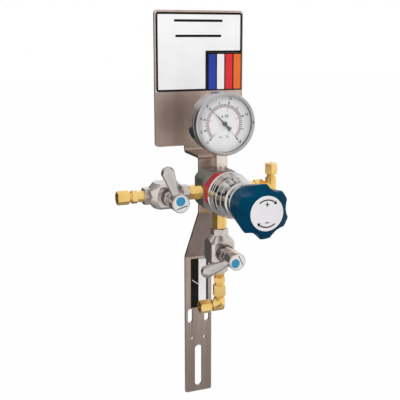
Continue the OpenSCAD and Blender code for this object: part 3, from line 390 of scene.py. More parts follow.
def makeSign():
    low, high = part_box("sign_panel")
    tagLow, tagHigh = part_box("colour_tag")
    x0, z0, x1, z1 = low.x / mm, low.z / mm, high.x / mm, high.z / mm
    s = signSizes
    tx, tz = tagLow.x / mm - s["tagGap"], tagHigh.z / mm + s["tagGap"]
    w, r, tight = s["borderWidth"], s["borderCorner"], s["tightCorner"]
    face = low.y / mm - s["proud"]
    outer = [(x0, z0, r), (tx, z0, tight), (tx, tz, tight), (x1, tz, tight), (x1, z1, r), (x0, z1, r)]
    inner = [(x0 + w, z0 + w, r / 3), (tx - w, z0 + w, tight), (tx - w, tz + w, tight),
             (x1 - w, tz + w, tight), (x1 - w, z1 - w, r / 3), (x0 + w, z1 - w, r / 3)]
    bm = bmesh.new()
    flatPlate(bm, filleted(outer), filleted(inner), face, s["proud"])
    finishMesh(bm, "signBorder", "panel", "label_black")
    bm = bmesh.new()
    middle = (x0 + x1) / 2 + s["lineShift"]
    for width, rise in zip(s["lineWidths"], s["lineRise"]):
        flatPlate(bm, barPath(middle, z0 + rise, width, s["lineHeight"]), None, face, s["proud"])
    finishMesh(bm, "signLines", "panel", "label_black")
    colours = {"Blue": tagBlue, "White": finish["sign_white"], "Red": tagRed, "Orange": finish["tag_orange"]}
    gap, side = s["stripeGap"], tagHigh.z / mm - tagLow.z / mm
    wide = (side - gap * (len(colours) + 1)) / len(colours)
    z = (tagLow.z + tagHigh.z) / 2 / mm
    for i, (name, material) in enumerate(colours.items()):
        bm = bmesh.new()
        x = tagLow.x / mm + gap + wide / 2 + i * (wide + gap)
        flatPlate(bm, barPath(x, z, wide, side - 2 * gap, s["stripeCorner"]), None, face, s["proud"])
        finishMesh(bm, "tagStripe" + name, "panel", "tag_orange", material)
    nodes["colour_tag"].data.materials[0] = finish["label_black"]


# Strip label: one pale band and a slash on black
labelSizes = {
    "band": 9.4, "bandShift": 3.6, "bandEnds": 1.2, "bandCorner": 0.3, "proud": 0.08,
    "slashAt": (-5.4, 1.6), "slash": (0.7, 9.5), "slashCorner": 0.2, "slashLean": 0.9,
}


def makeLabel():
    low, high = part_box("strip_label")
    s = labelSizes
    x, z = (low.x + high.x) / 2 / mm, (low.z + high.z) / 2 / mm
    tall, face = (high.z - low.z) / mm, low.y / mm - s["proud"]
    band = barPath(x + s["bandShift"], z, s["band"], tall - s["bandEnds"], s["bandCorner"])
    slashX, slashZ = s["slashAt"]
    slash = barPath(x + slashX, z + slashZ, *s["slash"], s["slashCorner"], s["slashLean"])
    bm = bmesh.new()
    flatPlate(bm, band, None, face, s["proud"])
    flatPlate(bm, slash, None, face, s["proud"])
    finishMesh(bm, "labelBands", "panel", "sign_white")


# Regulator
axisZ = centreOf("bonnet").z
portY = centreOf("inlet_nut").y
bonnetSizes = {
    "spigot": 17.5, "skirt": 19.0, "barrel": 15.0, "neck": 9.0, "screw": 4.05, "well": 12.5, "wellEnd": 4.0,
    "skirtBack": 69.5, "baseBack": 91.0, "seat": 0.4, "barrelFront": 137.9, "neckFront": 143.9,
    # Radius, distance and fillet of each step, from the flange to the barrel
    "steps": [(24.2, 91.0, 0.2), (24.2, 91.5, 0.2), (23.1, 92.6, 0.15), (23.1, 96.4, 0.1), (22.7, 96.8, 0.1),
              (22.7, 100.2, 0.1), (22.3, 100.6, 0.1), (22.3, 107.2, 0.15), (21.8, 107.7, 0.1),
              (21.8, 109.0, 1.5), (20.2, 114.0, 0.1), (19.8, 114.4, 0.1), (18.9, 117.6, 1.5),
              (18.9, 122.4, 0.6), (17.2, 124.0, 0.4), (16.6, 128.0, 0.5), (15.0, 129.4, 0.3)],
}


def makeRegulator():
    softened("regulator_body", "regulatorBlock", brokenEdges["regulator_body"])
    collar = softened("collar", "redCollar", brokenEdges["collar"])
    collar.visible_glossy = False  # the metal round it shows no red
    b = bonnetSizes
    origin = Vector((0, 0, axisZ))
    seat = b["baseBack"] + b["seat"]
    wellEnd = b["barrelFront"] - b["wellEnd"]
    bm = bmesh.new()
    turned(bm, origin, forward, [
        (b["spigot"], b["skirtBack"]), (b["skirt"], b["skirtBack"], 0.2), (b["skirt"], b["baseBack"]),
        *b["steps"], (b["barrel"], b["barrelFront"], 0.5), (b["neck"], b["barrelFront"]),
        (b["neck"], b["neckFront"], 0.4), (b["screw"], b["neckFront"]), (b["screw"], wellEnd),
        (b["well"], wellEnd), (b["well"], seat), (b["spigot"], seat),
    ], steps=128)
    standIn(bm, "bonnetShell", "bonnet", angle=0)


# Knob: rounded lobes that run out towards its back
knobSizes = {
    "back": 134.9, "front": 170.9, "nose": 176.9, "backRadius": 19.4, "frontRadius": 26.8, "lobes": 6,
    "fluteRadius": 11.5, "fluteDepth": 5.0, "fluteRise": 1.5, "firstFlute": 4, "blend": 1.1,
    "well": 16.5, "wellWall": 0.5, "floor": 150.9, "screw": 4.0, "screwEnd": 167.9,
    "plate": 16.7, "plateThick": 1.2, "plateRim": 0.9, "plateStep": 0.2, "plateSink": 0.15, "sideRings": 14,
    # Rounded corners, as steps from the back, the front and the nose
    "backEdge": [(-0.9, 0), (-0.35, 0.15), (0, 0.8)], "sideEnd": -1.6,
    "frontEdge": [(-0.25, -0.7), (-0.75, 0.4), (-1.6, 1.3), (-3.4, 2.6)],
    "noseEdge": [(2.6, -1.1), (1.5, -0.3), (0.7, 0)],
}


# How far out the grip reaches at an angle: a flute cuts into the base radius, and the two blend softly
def knobRadius(base, angle):
    k = knobSizes
    away = k["frontRadius"] + k["fluteRadius"] - k["fluteDepth"]
    step = 2 * math.pi / k["lobes"]
    off = (angle - math.radians(k["firstFlute"]) + step / 2) % step - step / 2
    inside = k["fluteRadius"] ** 2 - (away * math.sin(off)) ** 2
    flute = away * math.cos(off) - math.sqrt(max(inside, 0))
    if inside < 0:
        flute += math.sqrt(-inside) * k["fluteRise"]
    h = max(k["blend"] * 2 - abs(base - flute), 0) / (k["blend"] * 2)
    return min(base, flute) - h * h * k["blend"] / 2


def makeKnob():
    k = knobSizes
    origin = Vector((0, 0, axisZ))
    taper = (k["frontRadius"] - k["backRadius"]) / (k["front"] - k["back"])
    path = [(0, k["screwEnd"]), (k["screw"], k["screwEnd"]), (k["screw"], k["floor"]),
            (k["well"], k["floor"]), (k["well"], k["back"]),
            *shifted(k["backEdge"], k["backRadius"], k["back"])]
    sideStart, sideEnd = path[-1][1], k["front"] + k["sideEnd"]
    for i in range(1, k["sideRings"] + 1):
        d = sideStart + (sideEnd - sideStart) * i / k["sideRings"]
        path.append((k["backRadius"] + taper * (d - k["back"]), d))
    path += shifted(k["frontEdge"], k["frontRadius"], k["front"])
    path += shifted(k["noseEdge"], k["plate"], k["nose"])
    path.append((0, k["nose"]))
    bm = bmesh.new()
    turned(bm, Vector((0, 0, 0)), forward, path, closed=False, steps=300)
    for v in bm.verts:
        reach = math.hypot(v.co.x, v.co.z) / mm
        if reach > k["well"] + k["wellWall"]:
            share = knobRadius(reach, math.atan2(v.co.z, v.co.x)) / reach
            v.co.x *= share
            v.co.z *= share
    bmesh.ops.translate(bm, verts=bm.verts, vec=origin)
    standIn(bm, "knobGrip", "knob", angle=40)
    bm = bmesh.new()
    front, rim = k["nose"] + k["plateThick"], k["plate"] - k["plateRim"]
    sunk = front - k["plateSink"]
    turned(bm, origin, forward, [(0, k["nose"]), (k["plate"], k["nose"], 0.1), (k["plate"], front, 0.35),
                                 (rim, front, 0.1), (rim - k["plateStep"], sunk), (0, sunk)], closed=False)
    standIn(bm, "knobPlate", "knob_disc")
    makeTurnMarks(origin, sunk)


# Two curved arrows with a plus and a minus, on the knob's round plate
turnMarks = {
    "radius": 12.9, "line": 1.2, "arrow": 4.2, "from": 38, "to": -38, "tip": -50, "pieces": 24,
    "signAt": 8.6, "sign": (4.2, 0.9), "signCorner": 0.2, "lift": 0.02, "proud": 0.05,
}


# A point of the upper marks (side 1) or the lower ones (side -1), at degrees away from straight up or down
def markPoint(side, radius, turn):
    a = math.radians(90 + side * turn)
    return radius * math.cos(a), side * radius * math.sin(a)


def makeTurnMarks(origin, face):
    t = turnMarks
    proud, r, corner = t["proud"], t["radius"], t["signCorner"]
    front = -face - t["lift"] - proud
    wide, thick = t["sign"]
    stops = [t["from"] + (t["to"] - t["from"]) * i / t["pieces"] for i in range(t["pieces"] + 1)]
    bm = bmesh.new()
    for side in (1, -1):
        outer = [markPoint(side, r + t["line"] / 2, turn) for turn in stops]
        inner = [markPoint(side, r - t["line"] / 2, turn) for turn in stops]
        head = [markPoint(side, r + t["arrow"] / 2, t["to"]), markPoint(side, r - t["arrow"] / 2, t["to"]),
                markPoint(side, r, t["tip"])]
        flatPlate(bm, outer + inner[::-1], None, front, proud)
        flatPlate(bm, head, None, front, proud)
        flatPlate(bm, barPath(0, side * t["signAt"], wide, thick, corner), None, front, proud)
    flatPlate(bm, barPath(0, t["signAt"], thick, wide, corner), None, front, proud)
    bmesh.ops.translate(bm, verts=bm.verts, vec=origin)
    finishMesh(bm, "turnMarks", "adjuster", "label_black")


# Gauge: bezel, case, stem and plug
gaugeSizes = {
    "bezel": 33.0, "front": 17.0, "bezelBack": 6.0, "lip": 29.4, "lens": 15.4,
    "case": 31.8, "caseBack": -11.0, "caseFront": 12.3, "edge": 3.0, "edgeFillet": 1.2, "edgeInside": 0.4,
    "wall": 1.2, "stemEdge": 0.4, "plugEdge": 0.5,
    "notchAt": (30.3, 0.8), "notch": (1.3, 2.4), "notchCorner": 0.3, "notchSink": 0.1, "notchDepth": 0.4,
    # Steps from the bezel's back, its front and its lip, and the groove round the case
    "rimBack": [(-0.3, 0, 0.2), (0, 0.5), (0, 2.0), (-0.35, 2.2), (-0.35, 2.7), (0, 2.9)],
    "rimFront": [(0, -1.5, 0.9), (-1.1, 0, 0.5), (-1.7, 0, 0.2), (-1.9, -0.35), (-2.15, -0.35),
                 (-2.35, -0.1, 0.15)],
    "lipFront": [(0.35, -0.25, 0.3), (0, -0.7, 0.2)],
    "groove": [(0, -1.6), (-0.3, -1.4), (-0.3, -0.9), (0, -0.7)],
}


def gaugeMiddle():
    return Vector((0, portY, centreOf("gauge_bezel").z))


def makeGaugeCase():
    g = gaugeSizes
    origin = gaugeMiddle()
    bm = bmesh.new()
    turned(bm, origin, forward, [
        (g["case"], g["bezelBack"]), *shifted(g["rimBack"], g["bezel"], g["bezelBack"]),
        *shifted(g["rimFront"], g["bezel"], g["front"]), *shifted(g["lipFront"], g["lip"], g["front"]),
        (g["lip"], g["lens"]), (g["case"], g["lens"]),
    ], steps=144)
    standIn(bm, "bezelRing", "gauge_bezel")
    # A black plate on the bezel's rim: painted shade of a notch there
    bm = bmesh.new()
    notch = barPath(*g["notchAt"], *g["notch"], g["notchCorner"])
    flatPlate(bm, notch, None, g["notchSink"] - g["front"], g["notchDepth"])
    bmesh.ops.translate(bm, verts=bm.verts, vec=origin)
    finishMesh(bm, "bezelNotchShade", "panel", "rubber_black")
    r, back, e, w = g["case"], g["caseBack"], g["edge"], g["wall"]
    inside = e + g["edgeInside"]
    bm = bmesh.new()
    turned(bm, origin, forward, [
        (0, back), (r - e, back, g["edgeFillet"]), (r, back + e, g["edgeFillet"]),
        *shifted(g["groove"], r, 0), (r, g["caseFront"]), (r - w, g["caseFront"]), (r - w, back + inside),
        (r - inside, back + w), (0, back + w),
    ], closed=False, steps=144)
    standIn(bm, "gaugeShell", "gauge_case")
    softened("gauge_socket", "gaugeStem", g["stemEdge"], material=stemAlloy)
    softened("gauge_plug", "casePlug", g["plugEdge"])


# Dial print: an outer scale in black and an inner one in rose
dialSizes = {
    "marks": (226, 197, 167, 135, 104, 76, 47, 19, -17, -48),  # degrees
    "between": 5,  # small ticks between two marks
    "tick": (18.0, 20.6), "tickWidth": 0.8, "dot": (21.2, 23.2), "dotWidth": 1.7,
    "numbers": {0: "0", 1: "2", 2: "4", 3: "6", 5: "10", 7: "14", 9: "18"},
    "numberRadius": 26.4, "numberSize": 4.0,
    "factor": "x 10", "factorAt": (0.6, 7.8), "factorSize": 4.6,
    "band": (16.8, 18.0), "bandPieces": 80, "bandThick": 0.05, "innerTick": 1.6, "innerWidths": (0.5, 1.2),
    "innerNumbers": {0: "0", 2: "1", 5: "2", 7: "3", 9: "4"}, "innerRadius": 13.4, "innerSize": 2.8,
    "barThick": 0.06, "digitThick": 0.03, "digitBold": 0.11, "digitLift": 0.04,
}


def dialBar(bm, angle, near, far, width, face):
    a = math.radians(angle)
    u = Vector((math.cos(a), math.sin(a)))
    v = Vector((-u.y, u.x)) * width / 2
    thick = dialSizes["barThick"]
    flatPlate(bm, [u * near - v, u * far - v, u * far + v, u * near + v], None, face - thick, thick)


def addNumber(bm, text, x, z, size, face):
    curve = bpy.data.curves.new("number", "FONT")
    curve.body = text
    curve.size = size * mm
    curve.align_x = "CENTER"
    curve.align_y = "CENTER"
    curve.extrude = dialSizes["digitThick"] * mm
    curve.offset = dialSizes["digitBold"] * mm
    letter = bpy.data.objects.new("number", curve)
    mesh = bpy.data.meshes.new_from_object(letter)
    place = Vector((x, face - dialSizes["digitLift"], z)) * mm
    mesh.transform(Matrix.Translation(place) @ Matrix.Rotation(math.pi / 2, 4, "X"))
    bm.from_mesh(mesh)
    bpy.data.objects.remove(letter)
    bpy.data.curves.remove(curve)
    bpy.data.meshes.remove(mesh)


def makeDial():
    d = dialSizes
    origin = gaugeMiddle()
    face = (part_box("gauge_dial")[0].y - origin.y) / mm
    marks = d["marks"]
    bm = bmesh.new()
    for i, mark in enumerate(marks):
        dialBar(bm, mark, d["tick"][0], d["dot"][1], d["tickWidth"], face)
        if i in d["numbers"]:
            dialBar(bm, mark, *d["dot"], d["dotWidth"], face)
        if i + 1 < len(marks):
            for k in range(1, d["between"] + 1):
                angle = mark + (marks[i + 1] - mark) * k / (d["between"] + 1)
                dialBar(bm, angle, *d["tick"], d["tickWidth"], face)
    for i, text in d["numbers"].items():
        addNumber(bm, text, *onCircle(d["numberRadius"], math.radians(marks[i])), d["numberSize"], face)
    addNumber(bm, d["factor"], *d["factorAt"], d["factorSize"], face)
    bmesh.ops.translate(bm, verts=bm.verts, vec=origin)
    finishMesh(bm, "dialPrint", "panel", "pointer_black")
    bm = bmesh.new()
    first, last = math.radians(marks[-1]), math.radians(marks[0])
    low, high = d["band"]
    arc = [first + (last - first) * i / d["bandPieces"] for i in range(d["bandPieces"] + 1)]
    flatPlate(bm, [onCircle(high, a) for a in arc] + [onCircle(low, a) for a in reversed(arc)], None,
              face - d["bandThick"], d["bandThick"])
    for i, mark in enumerate(marks):
        dialBar(bm, mark, low - d["innerTick"], low, d["innerWidths"][i in d["innerNumbers"]], face)
    for i, text in d["innerNumbers"].items():
        addNumber(bm, text, *onCircle(d["innerRadius"], math.radians(marks[i])), d["innerSize"], face)
    bmesh.ops.translate(bm, verts=bm.verts, vec=origin)
    finishMesh(bm, "dialInnerPrint", "panel", "dial_white", dialRose)


# Valves and their lever handles
valves = {
    "inlet": {"angle": 15, "body": "inlet_lever"},
    "outlet": {"angle": 115, "body": "outlet_lever"},
}
hubSizes = {
    "radius": 9.1, "back": 32.0, "front": 48.5, "stem": 3.0, "stemEnd": 45.5, "faceSink": 0.12, "fillet": 0.5,
    "frontEdge": [(0, -0.9, 0.5), (-0.75, 0, 0.3), (-1.1, 0, 0.1), (-1.25, -0.12)],  # steps from the front
}
leverSizes = {
    "at": 39.9, "lean": 18, "start": 4, "root": 2.9, "rootAt": 3, "end": 6.8, "reach": 29.0,
    "rings": 22, "endRings": 10,
    "flare": 2.6, "flareFrom": 11, "flareLong": 7,  # the lever widens again towards the hub
    "groove": (0.075, 0.24), "swell": (0.03, 0.62, 0.25),  # share of the radius, angle from the face, spread
    "fadeIn": (9, 4), "fadeOut": (1, 6),
}
spotSizes = {
    "radius": 4.7, "off": 2.9, "rim": 5.5, "gap": 0.02, "back": -0.2, "rimFront": 0.3, "domeAt": 0.7,
    "domeRise": (0.62, 0.75), "face": (8.0, -0.1, 0.06), "lineOff": 3.6, "line": (11.5, 0.8),
    "lineCorner": 0.35, "lineLift": 0.06, "lineThick": 0.06,
}


def makeHandle(valve, spec, place):
    h, s = hubSizes, leverSizes
    turn = Matrix.Translation(place) @ Matrix.Rotation(math.radians(-spec["angle"]), 4, "Y")
    face = h["front"] - h["faceSink"]
    bm = bmesh.new()
    turned(bm, Vector((0, 0, 0)), forward, [
        (h["stem"], h["back"]), (h["radius"], h["back"], h["fillet"]),
        *shifted(h["frontEdge"], h["radius"], h["front"]), (0, face), (0, h["stemEnd"]),
        (h["stem"], h["stemEnd"]),
    ])
    bmesh.ops.transform(bm, matrix=turn, verts=bm.verts)
    standIn(bm, valve + "HandleHub", valve + "_handle")
    lean = math.radians(s["lean"])
    reach = s["reach"] / math.cos(lean)
    path = [(0, s["start"])]
    for i in range(s["rings"] + 1):
        at = s["start"] + (reach - s["start"]) * i / s["rings"]
        flare = s["flare"] * max(0, (s["flareFrom"] - at) / s["flareLong"]) ** 2
        share = (at - s["rootAt"]) / (reach - s["rootAt"])
        path.append((s["root"] + (s["end"] - s["root"]) * share + flare, at))
    for i in range(1, s["endRings"]):
        x, y = onCircle(s["end"], math.pi / 2 * i / s["endRings"])
        path.append((x, reach + y))
    path.append((0, reach + s["end"]))
    bm = bmesh.new()
    turned(bm, Vector((0, 0, 0)), (0, 0, 1), path, closed=False, steps=48)
    for v in bm.verts:
        thinner = 1 - grooveDepth(v.co.z / mm, math.atan2(v.co.x, -v.co.y), reach)
        v.co.x *= thinner
        v.co.y *= thinner
    out = Matrix.Translation((0, -s["at"] * mm, 0)) @ Matrix.Rotation(-lean, 4, "X")
    bmesh.ops.transform(bm, matrix=turn @ out, verts=bm.verts)
    finishMesh(bm, valve + "HandleLever", spec["body"], "valve_nickel", leverSatin, angle=50)
    makeSpot(valve, spec, turn, face)


# A shallow groove along the face of the lever, between two low swells; it fades out at both ends
def grooveDepth(at, angle, reach):
    s = leverSizes
    fadeFrom, fadeLong = s["fadeIn"]
    endOver, endLong = s["fadeOut"]
    fade = min(1, max(0, (at - fadeFrom) / fadeLong)) * min(1, max(0, (reach + endOver - at) / endLong))
    depth, spreadOut = s["groove"]
    rise, riseAt, riseOut = s["swell"]
    dip = depth * math.exp(-(angle / spreadOut) ** 2)
    return fade * (dip - rise * math.exp(-((abs(angle) - riseAt) / riseOut) ** 2))


# On the hub's face: a bright disc, a domed spot in a pale rim, and a black line that is the painted shade of
# a narrow groove
def makeSpot(valve, spec, turn, face):
    s = spotSizes
    centre = Vector((0, 0, 0))
    move = turn @ Matrix.Translation((0, 0, s["off"] * mm))
    back, rimFront, inside = face + s["back"], face + s["rimFront"], s["radius"] + s["gap"]
    wide, low, high = s["face"]
    bm = bmesh.new()
    turned(bm, centre, forward, [(0, face + low), (wide, face + low), (wide, face + high), (0, face + high)],
           closed=False, steps=64)
    bmesh.ops.transform(bm, matrix=turn, verts=bm.verts)
    finishMesh(bm, valve + "HandleFace", spec["body"], "valve_nickel", hubFace)
    bm = bmesh.new()
    turned(bm, centre, forward, [(inside, back), (s["rim"], back), (s["rim"], rimFront, 0.15),
                                 (inside, rimFront, 0.1)], steps=64)
    bmesh.ops.transform(bm, matrix=move, verts=bm.verts)
    finishMesh(bm, valve + "SpotRim", spec["body"], "disc_white")
    bm = bmesh.new()
    domeEdge, domeTop = s["domeRise"]
    turned(bm, centre, forward, [(0, back), (s["radius"], back), (s["radius"], rimFront, 0.2),
                                 (s["radius"] * s["domeAt"], face + domeEdge, 3), (0, face + domeTop)],
           closed=False, steps=64)
    bmesh.ops.transform(bm, matrix=move, verts=bm.verts)
    standIn(bm, valve + "Spot", valve + "_handle_spot")
    # Black line: painted shade of the groove across the hub's face
    bm = bmesh.new()
    line = barPath(0, -s["lineOff"], *s["line"], s["lineCorner"])
    flatPlate(bm, line, None, -face - s["lineLift"] - s["lineThick"], s["lineThick"])
    bmesh.ops.transform(bm, matrix=turn, verts=bm.verts)
    finishMesh(bm, valve + "HandleGrooveShade", spec["body"], "pointer_black")


# The sleeve between a valve's body and its handle, and a dark ring at its foot: painted shade of the groove
# round the sleeve's foot
sleeveSizes = {
    "radius": 8.4, "back": 14.25, "front": 31.0, "cavity": 7.2, "seat": 10.4, "stem": 4.05, "plunger": 3.05,
    "guide": 2.9,
    # Grooves, as steps from the back, and the front edge
    "backSteps": [(-0.5, 0), (0, 0.5), (0, 3.0), (-0.35, 3.2), (-0.35, 3.8), (0, 4.0), (0, 9.4), (-0.25, 9.6),
                  (-0.25, 10.0), (0, 10.2)],
    "frontSteps": [(0, -0.6, 0.4), (-0.7, 0, 0.2)],
}
footShadeRing = {
    "sides": 6, "corner": 10.1, "cornerFillet": 0.6, "inside": 8.45, "insidePieces": 36, "front": 18.2,
    "thick": 4.0, "turn": 15,
}
valveEdge = 0.35  # broken edges of the valve bodies


def makeValve(valve, spec):
    softened(valve + "_valve_body", valve + "ValveBlock", valveEdge)
    b, f = sleeveSizes, footShadeRing
    place = centreOf(valve + "_valve_stem")
    place.y = portY
    r, back, front = b["radius"], b["back"], b["front"]
    bm = bmesh.new()
    turned(bm, place, forward, [
        (b["plunger"], b["seat"]), (b["cavity"], b["seat"]), (b["cavity"], back),
        *shifted(b["backSteps"], r, back), *shifted(b["frontSteps"], r, front), (b["stem"], front),
        (b["stem"], back + b["guide"]), (b["plunger"], back + b["guide"]),
    ], steps=72)
    standIn(bm, valve + "BonnetSleeve", valve + "_valve_bonnet")
    # A dark hexagonal ring: painted shade of the groove at the sleeve's foot
    bm = bmesh.new()
    sides, pieces = f["sides"], f["insidePieces"]
    outer = [(*onCircle(f["corner"], 2 * math.pi * i / sides), f["cornerFillet"]) for i in range(sides)]
    inner = [onCircle(f["inside"], 2 * math.pi * i / pieces) for i in range(pieces)]
    flatPlate(bm, filleted(outer, steps=5), inner, -f["front"], f["thick"])
    turn = Matrix.Translation(place) @ Matrix.Rotation(math.radians(f["turn"]), 4, "Y")
    bmesh.ops.transform(bm, matrix=turn, verts=bm.verts)
    finishMesh(bm, valve + "FootShadeRing", "panel", "valve_nickel", paintedFootShade)
    makeHandle(valve, spec, place)


# Brass fittings, each with the width of its broken edges
fittings = {
    "inlet_nipple": 0.25, "inlet_connector": 0.18, "inlet_nut": 0.25, "outlet_nipple": 0.25,
    "outlet_connector": 0.18, "outlet_union_nut": 0.25, "outlet_elbow": 0.4, "outlet_nut": 0.25,
    "relief_nipple": 0.25, "relief_body": 0.3, "relief_cap": 0.3,
}
elbowBend = 3.4  # rounding of the elbow's outer corner
# Threads: what shows of each one, and how far it is sunk at both ends
threadSizes = {"radius": 5.25, "show": 2.4, "sunk": 0.4, "pitch": 1.1}
socketThread = {"radius": 5.4, "show": 5.0, "sunk": 0.3, "pitch": 1.3, "depth": 0.7}


def makeFittings():
    for node, width in fittings.items():
        name = "".join(w.capitalize() if i else w for i, w in enumerate(node.split("_")))
        softened(node, name + "Turned", width, bend=elbowBend if node == "outlet_elbow" else 0)
    t = threadSizes
    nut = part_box("inlet_nut")
    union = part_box("outlet_union_nut")
    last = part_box("outlet_nut")
    spots = [
        ("inletThread", Vector((nut[1].x, portY, axisZ)), (1, 0, 0)),
        ("unionThread", Vector((0, portY, union[1].z)), (0, 0, 1)),
        ("unionLowThread", Vector((0, portY, union[0].z)), (0, 0, -1)),
        ("elbowThread", Vector((last[1].x, portY, centreOf("outlet_nut").z)), (1, 0, 0)),
    ]
    for name, place, axis in spots:
        bm = bmesh.new()
        start = place - Vector(axis) * t["sunk"] * mm
        threaded(bm, start, axis, t["radius"], t["show"] + 2 * t["sunk"], t["pitch"])
        finishMesh(bm, name, "panel", "brass", angle=50)
    t = socketThread
    bm = bmesh.new()
    start = Vector((0, portY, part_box("regulator_body")[1].z - t["sunk"] * mm))
    threaded(bm, start, (0, 0, 1), t["radius"], t["show"] + 2 * t["sunk"], t["pitch"], t["depth"])
    finishMesh(bm, "socketThread", "panel", "bronze", angle=50)


# Inside springs: each spring that a joint deforms is copied into a piece with a mesh of its own, in place of
# its node; its direction and fixed end are worked out but not used
def makeSprings():
    for joint in frame["record"]["behaviour"]["joints"]:
        for part in joint.get("deforming_nodes", []):
            node, letter = part["node"], part["mode"][-1]
            if not node.endswith("_spring"):
                continue
            i = "xyz".index(letter)
            low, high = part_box(node)
            along, anchor = Vector((0, 0, 0)), Vector((0, 0, 0))
            along[i], anchor[i] = 1, part["fixed_end_" + letter + "_m"]
            bm = bmesh.new()
            bm.from_mesh(nodes[node].data)
            piece = standIn(bm, node.split("_")[0] + "SpringCoil", node, angle=50)
            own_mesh(piece)


# Stage and light
stageSizes = {"floorHalf": 6.0, "floorDrop": 0.002, "floorGlow": 0.98, "floorInMetal": 0.97}
lamps = {
    "keyLamp": {"place": (-0.75, -0.75, 0.95), "size": (0.35, 0.6), "watts": 6.5},
    "fillLamp": {"place": (0.95, -0.6, 0.35), "size": (0.25, 0.9), "watts": 2.0},
    "topLamp": {"place": (0.05, -0.25, 1.15), "size": (0.5, 0.35), "watts": 3.0},
}
# How bright the room is for matt surfaces, and how it looks in metal: pale, but dark low at the back on the
# left, less so above that, and dim on the floor close in front. A pair says where a change starts and ends,
# as parts of a direction, or in metres for closeUpTo and closeBehind.
room = {
    "matt": 0.5, "front": 0.88, "floorFront": 0.88, "back": 0.95, "turns": (-0.3, 0.5),
    "sides": 1.0, "sidesFrom": (0.46, 0.66), "top": 0.9, "topFrom": (0.45, 0.8),
    "left": 0.04, "leftFrom": (-0.08, 0.12), "floorLeftFrom": (0.12, 0.2), "leftUpTo": (0.28, 0.34),
    "leftAbove": 0.35, "leftBehind": (0.0, 0.3),
    "near": 0.8, "closeBy": 0.35, "closeUpTo": (0.15, 0.6), "closeBehind": (0.0, 0.2),
}


def calc(tree, operation, first, second):
    node = tree.nodes.new("ShaderNodeMath")
    node.operation = operation
    for socket, value in zip(node.inputs, (first, second)):
        if isinstance(value, bpy.types.NodeSocket):
            tree.links.new(value, socket)
        else:
            socket.default_value = value
    return node.outputs[0]


def spread(tree, source, low, high, dark, bright):
    node = tree.nodes.new("ShaderNodeMapRange")
    node.interpolation_type = "SMOOTHSTEP"
    for name, value in (("From Min", low), ("From Max", high), ("To Min", dark), ("To Max", bright)):
        node.inputs[name].default_value = value
    tree.links.new(source, node.inputs["Value"])
    return node.outputs["Result"]


def roomShade(tree, direction, front, leftFrom):
    split = tree.nodes.new("ShaderNodeSeparateXYZ")
    tree.links.new(direction, split.inputs[0])
    x, y, z = split.outputs
    behind = spread(tree, y, *room["turns"], front, room["back"])
    left = calc(tree, "MAXIMUM", spread(tree, x, *leftFrom, room["left"], 1.0),
                calc(tree, "MAXIMUM", spread(tree, z, *room["leftUpTo"], 0.0, room["leftAbove"]),
                     spread(tree, y, *room["leftBehind"], 1.0, 0.0)))
    sides = spread(tree, calc(tree, "ABSOLUTE", x, 0), *room["sidesFrom"], 0.0, room["sides"])
    above = spread(tree, z, *room["topFrom"], 0.0, room["top"])
    return calc(tree, "MAXIMUM", calc(tree, "MULTIPLY", calc(tree, "MAXIMUM", behind, sides), left), above)


def addFloor():
    bm = bmesh.new()
    bmesh.ops.create_grid(bm, x_segments=1, y_segments=1, size=stageSizes["floorHalf"])
    bmesh.ops.translate(bm, verts=bm.verts, vec=(0, 0, cadLow.z - stageSizes["floorDrop"]))
    mesh = bpy.data.meshes.new("floor")
    bm.to_mesh(mesh)
    bm.free()
    floor = bpy.data.objects.new("floor", mesh)
    bpy.context.scene.collection.objects.link(floor)
    material, tree, shader = newMaterial("paleFloor")
    shader.inputs["Base Color"].default_value = (0.9, 0.9, 0.9, 1)
    shader.inputs["Roughness"].default_value = 0.9
    glow = tree.nodes.new("ShaderNodeEmission")
    mix = tree.nodes.new("ShaderNodeMixShader")
    rays = tree.nodes.new("ShaderNodeLightPath")
    coords = tree.nodes.new("ShaderNodeTexCoord")
    length = tree.nodes.new("ShaderNodeVectorMath")
    length.operation = "LENGTH"
    tree.links.new(coords.outputs["Object"], length.inputs[0])
    ahead = tree.nodes.new("ShaderNodeVectorMath")
    ahead.operation = "SCALE"
    tree.links.new(coords.outputs["Object"], ahead.inputs[0])
    away = calc(tree, "MAXIMUM", length.outputs["Value"], room["near"])
    tree.links.new(calc(tree, "DIVIDE", 1.0, away), ahead.inputs["Scale"])
    shade = roomShade(tree, ahead.outputs["Vector"], room["floorFront"], room["floorLeftFrom"])
    split = tree.nodes.new("ShaderNodeSeparateXYZ")
    tree.links.new(coords.outputs["Object"], split.inputs[0])
    outward = spread(tree, length.outputs["Value"], *room["closeUpTo"], room["closeBy"], 1.0)
    behind = spread(tree, split.outputs[1], *room["closeBehind"], 0.0, 1.0)
    shade = calc(tree, "MULTIPLY", shade, calc(tree, "MAXIMUM", outward, behind))
    tree.links.new(calc(tree, "MAXIMUM", rays.outputs["Is Camera Ray"], shade), glow.inputs["Strength"])
    shares = [calc(tree, "MULTIPLY", rays.outputs[kind], stageSizes[share])
              for kind, share in (("Is Camera Ray", "floorGlow"), ("Is Glossy Ray", "floorInMetal"))]
    tree.links.new(calc(tree, "MAXIMUM", *shares), mix.inputs["Fac"])
    tree.links.new(shader.outputs[0], mix.inputs[1])
    tree.links.new(glow.outputs[0], mix.inputs[2])
    tree.links.new(mix.outputs[0], tree.nodes["Material Output"].inputs["Surface"])
    mesh.materials.append(material)


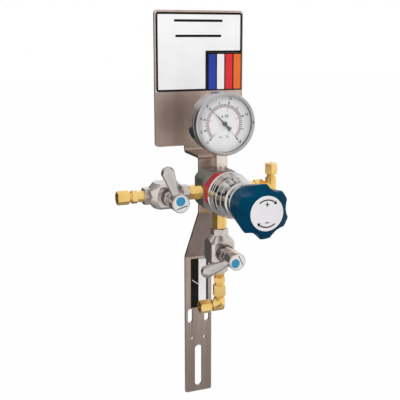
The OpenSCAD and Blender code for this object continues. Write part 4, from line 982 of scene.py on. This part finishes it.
def addLamp(name, spec, target):
    data = bpy.data.lights.new(name, "AREA")
    data.shape = "RECTANGLE"
    data.size, data.size_y = spec["size"]
    data.energy = spec["watts"]
    lamp = bpy.data.objects.new(name, data)
    bpy.context.scene.collection.objects.link(lamp)
    lamp.location = spec["place"]
    lamp.visible_glossy = False  # metal sees the bright sides of the room instead
    lamp.rotation_mode = "QUATERNION"
    lamp.rotation_quaternion = (Vector(target) - Vector(spec["place"])).to_track_quat("-Z", "Y")


def lightStage():
    scene = bpy.context.scene
    scene.view_settings.view_transform = "Standard"
    world = bpy.data.worlds.new("studio")
    scene.world = world
    world.use_nodes = True
    tree = world.node_tree
    soft = tree.nodes["Background"]
    soft.inputs["Color"].default_value = (1, 1, 1, 1)
    soft.inputs["Strength"].default_value = room["matt"]
    coords = tree.nodes.new("ShaderNodeTexCoord")
    seen = tree.nodes.new("ShaderNodeBackground")
    shade = roomShade(tree, coords.outputs["Generated"], room["front"], room["leftFrom"])
    tree.links.new(shade, seen.inputs["Color"])
    white = tree.nodes.new("ShaderNodeBackground")
    white.inputs["Color"].default_value = (1, 1, 1, 1)
    mirror = tree.nodes.new("ShaderNodeMixShader")
    direct = tree.nodes.new("ShaderNodeMixShader")
    rays = tree.nodes.new("ShaderNodeLightPath")
    tree.links.new(rays.outputs["Is Glossy Ray"], mirror.inputs["Fac"])
    tree.links.new(soft.outputs[0], mirror.inputs[1])
    tree.links.new(seen.outputs[0], mirror.inputs[2])
    tree.links.new(calc(tree, "MAXIMUM", rays.outputs["Is Camera Ray"], rays.outputs["Is Transmission Ray"]),
                   direct.inputs["Fac"])
    tree.links.new(mirror.outputs[0], direct.inputs[1])
    tree.links.new(white.outputs[0], direct.inputs[2])
    tree.links.new(direct.outputs[0], tree.nodes["World Output"].inputs["Surface"])
    middle = (cadLow + cadHigh) / 2
    for name, spec in lamps.items():
        addLamp(name, spec, middle)


addCamera()
addFloor()
lightStage()
print("camera, floor and lamps placed")
dress()
makeBracket()
makeSign()
makeLabel()
print("bracket and signs made")
makeRegulator()
makeKnob()
makeGaugeCase()
makeDial()
print("regulator, knob and gauge made")
for valve, spec in valves.items():
    makeValve(valve, spec)
makeFittings()
makeSprings()
print("valves, fittings and springs made")
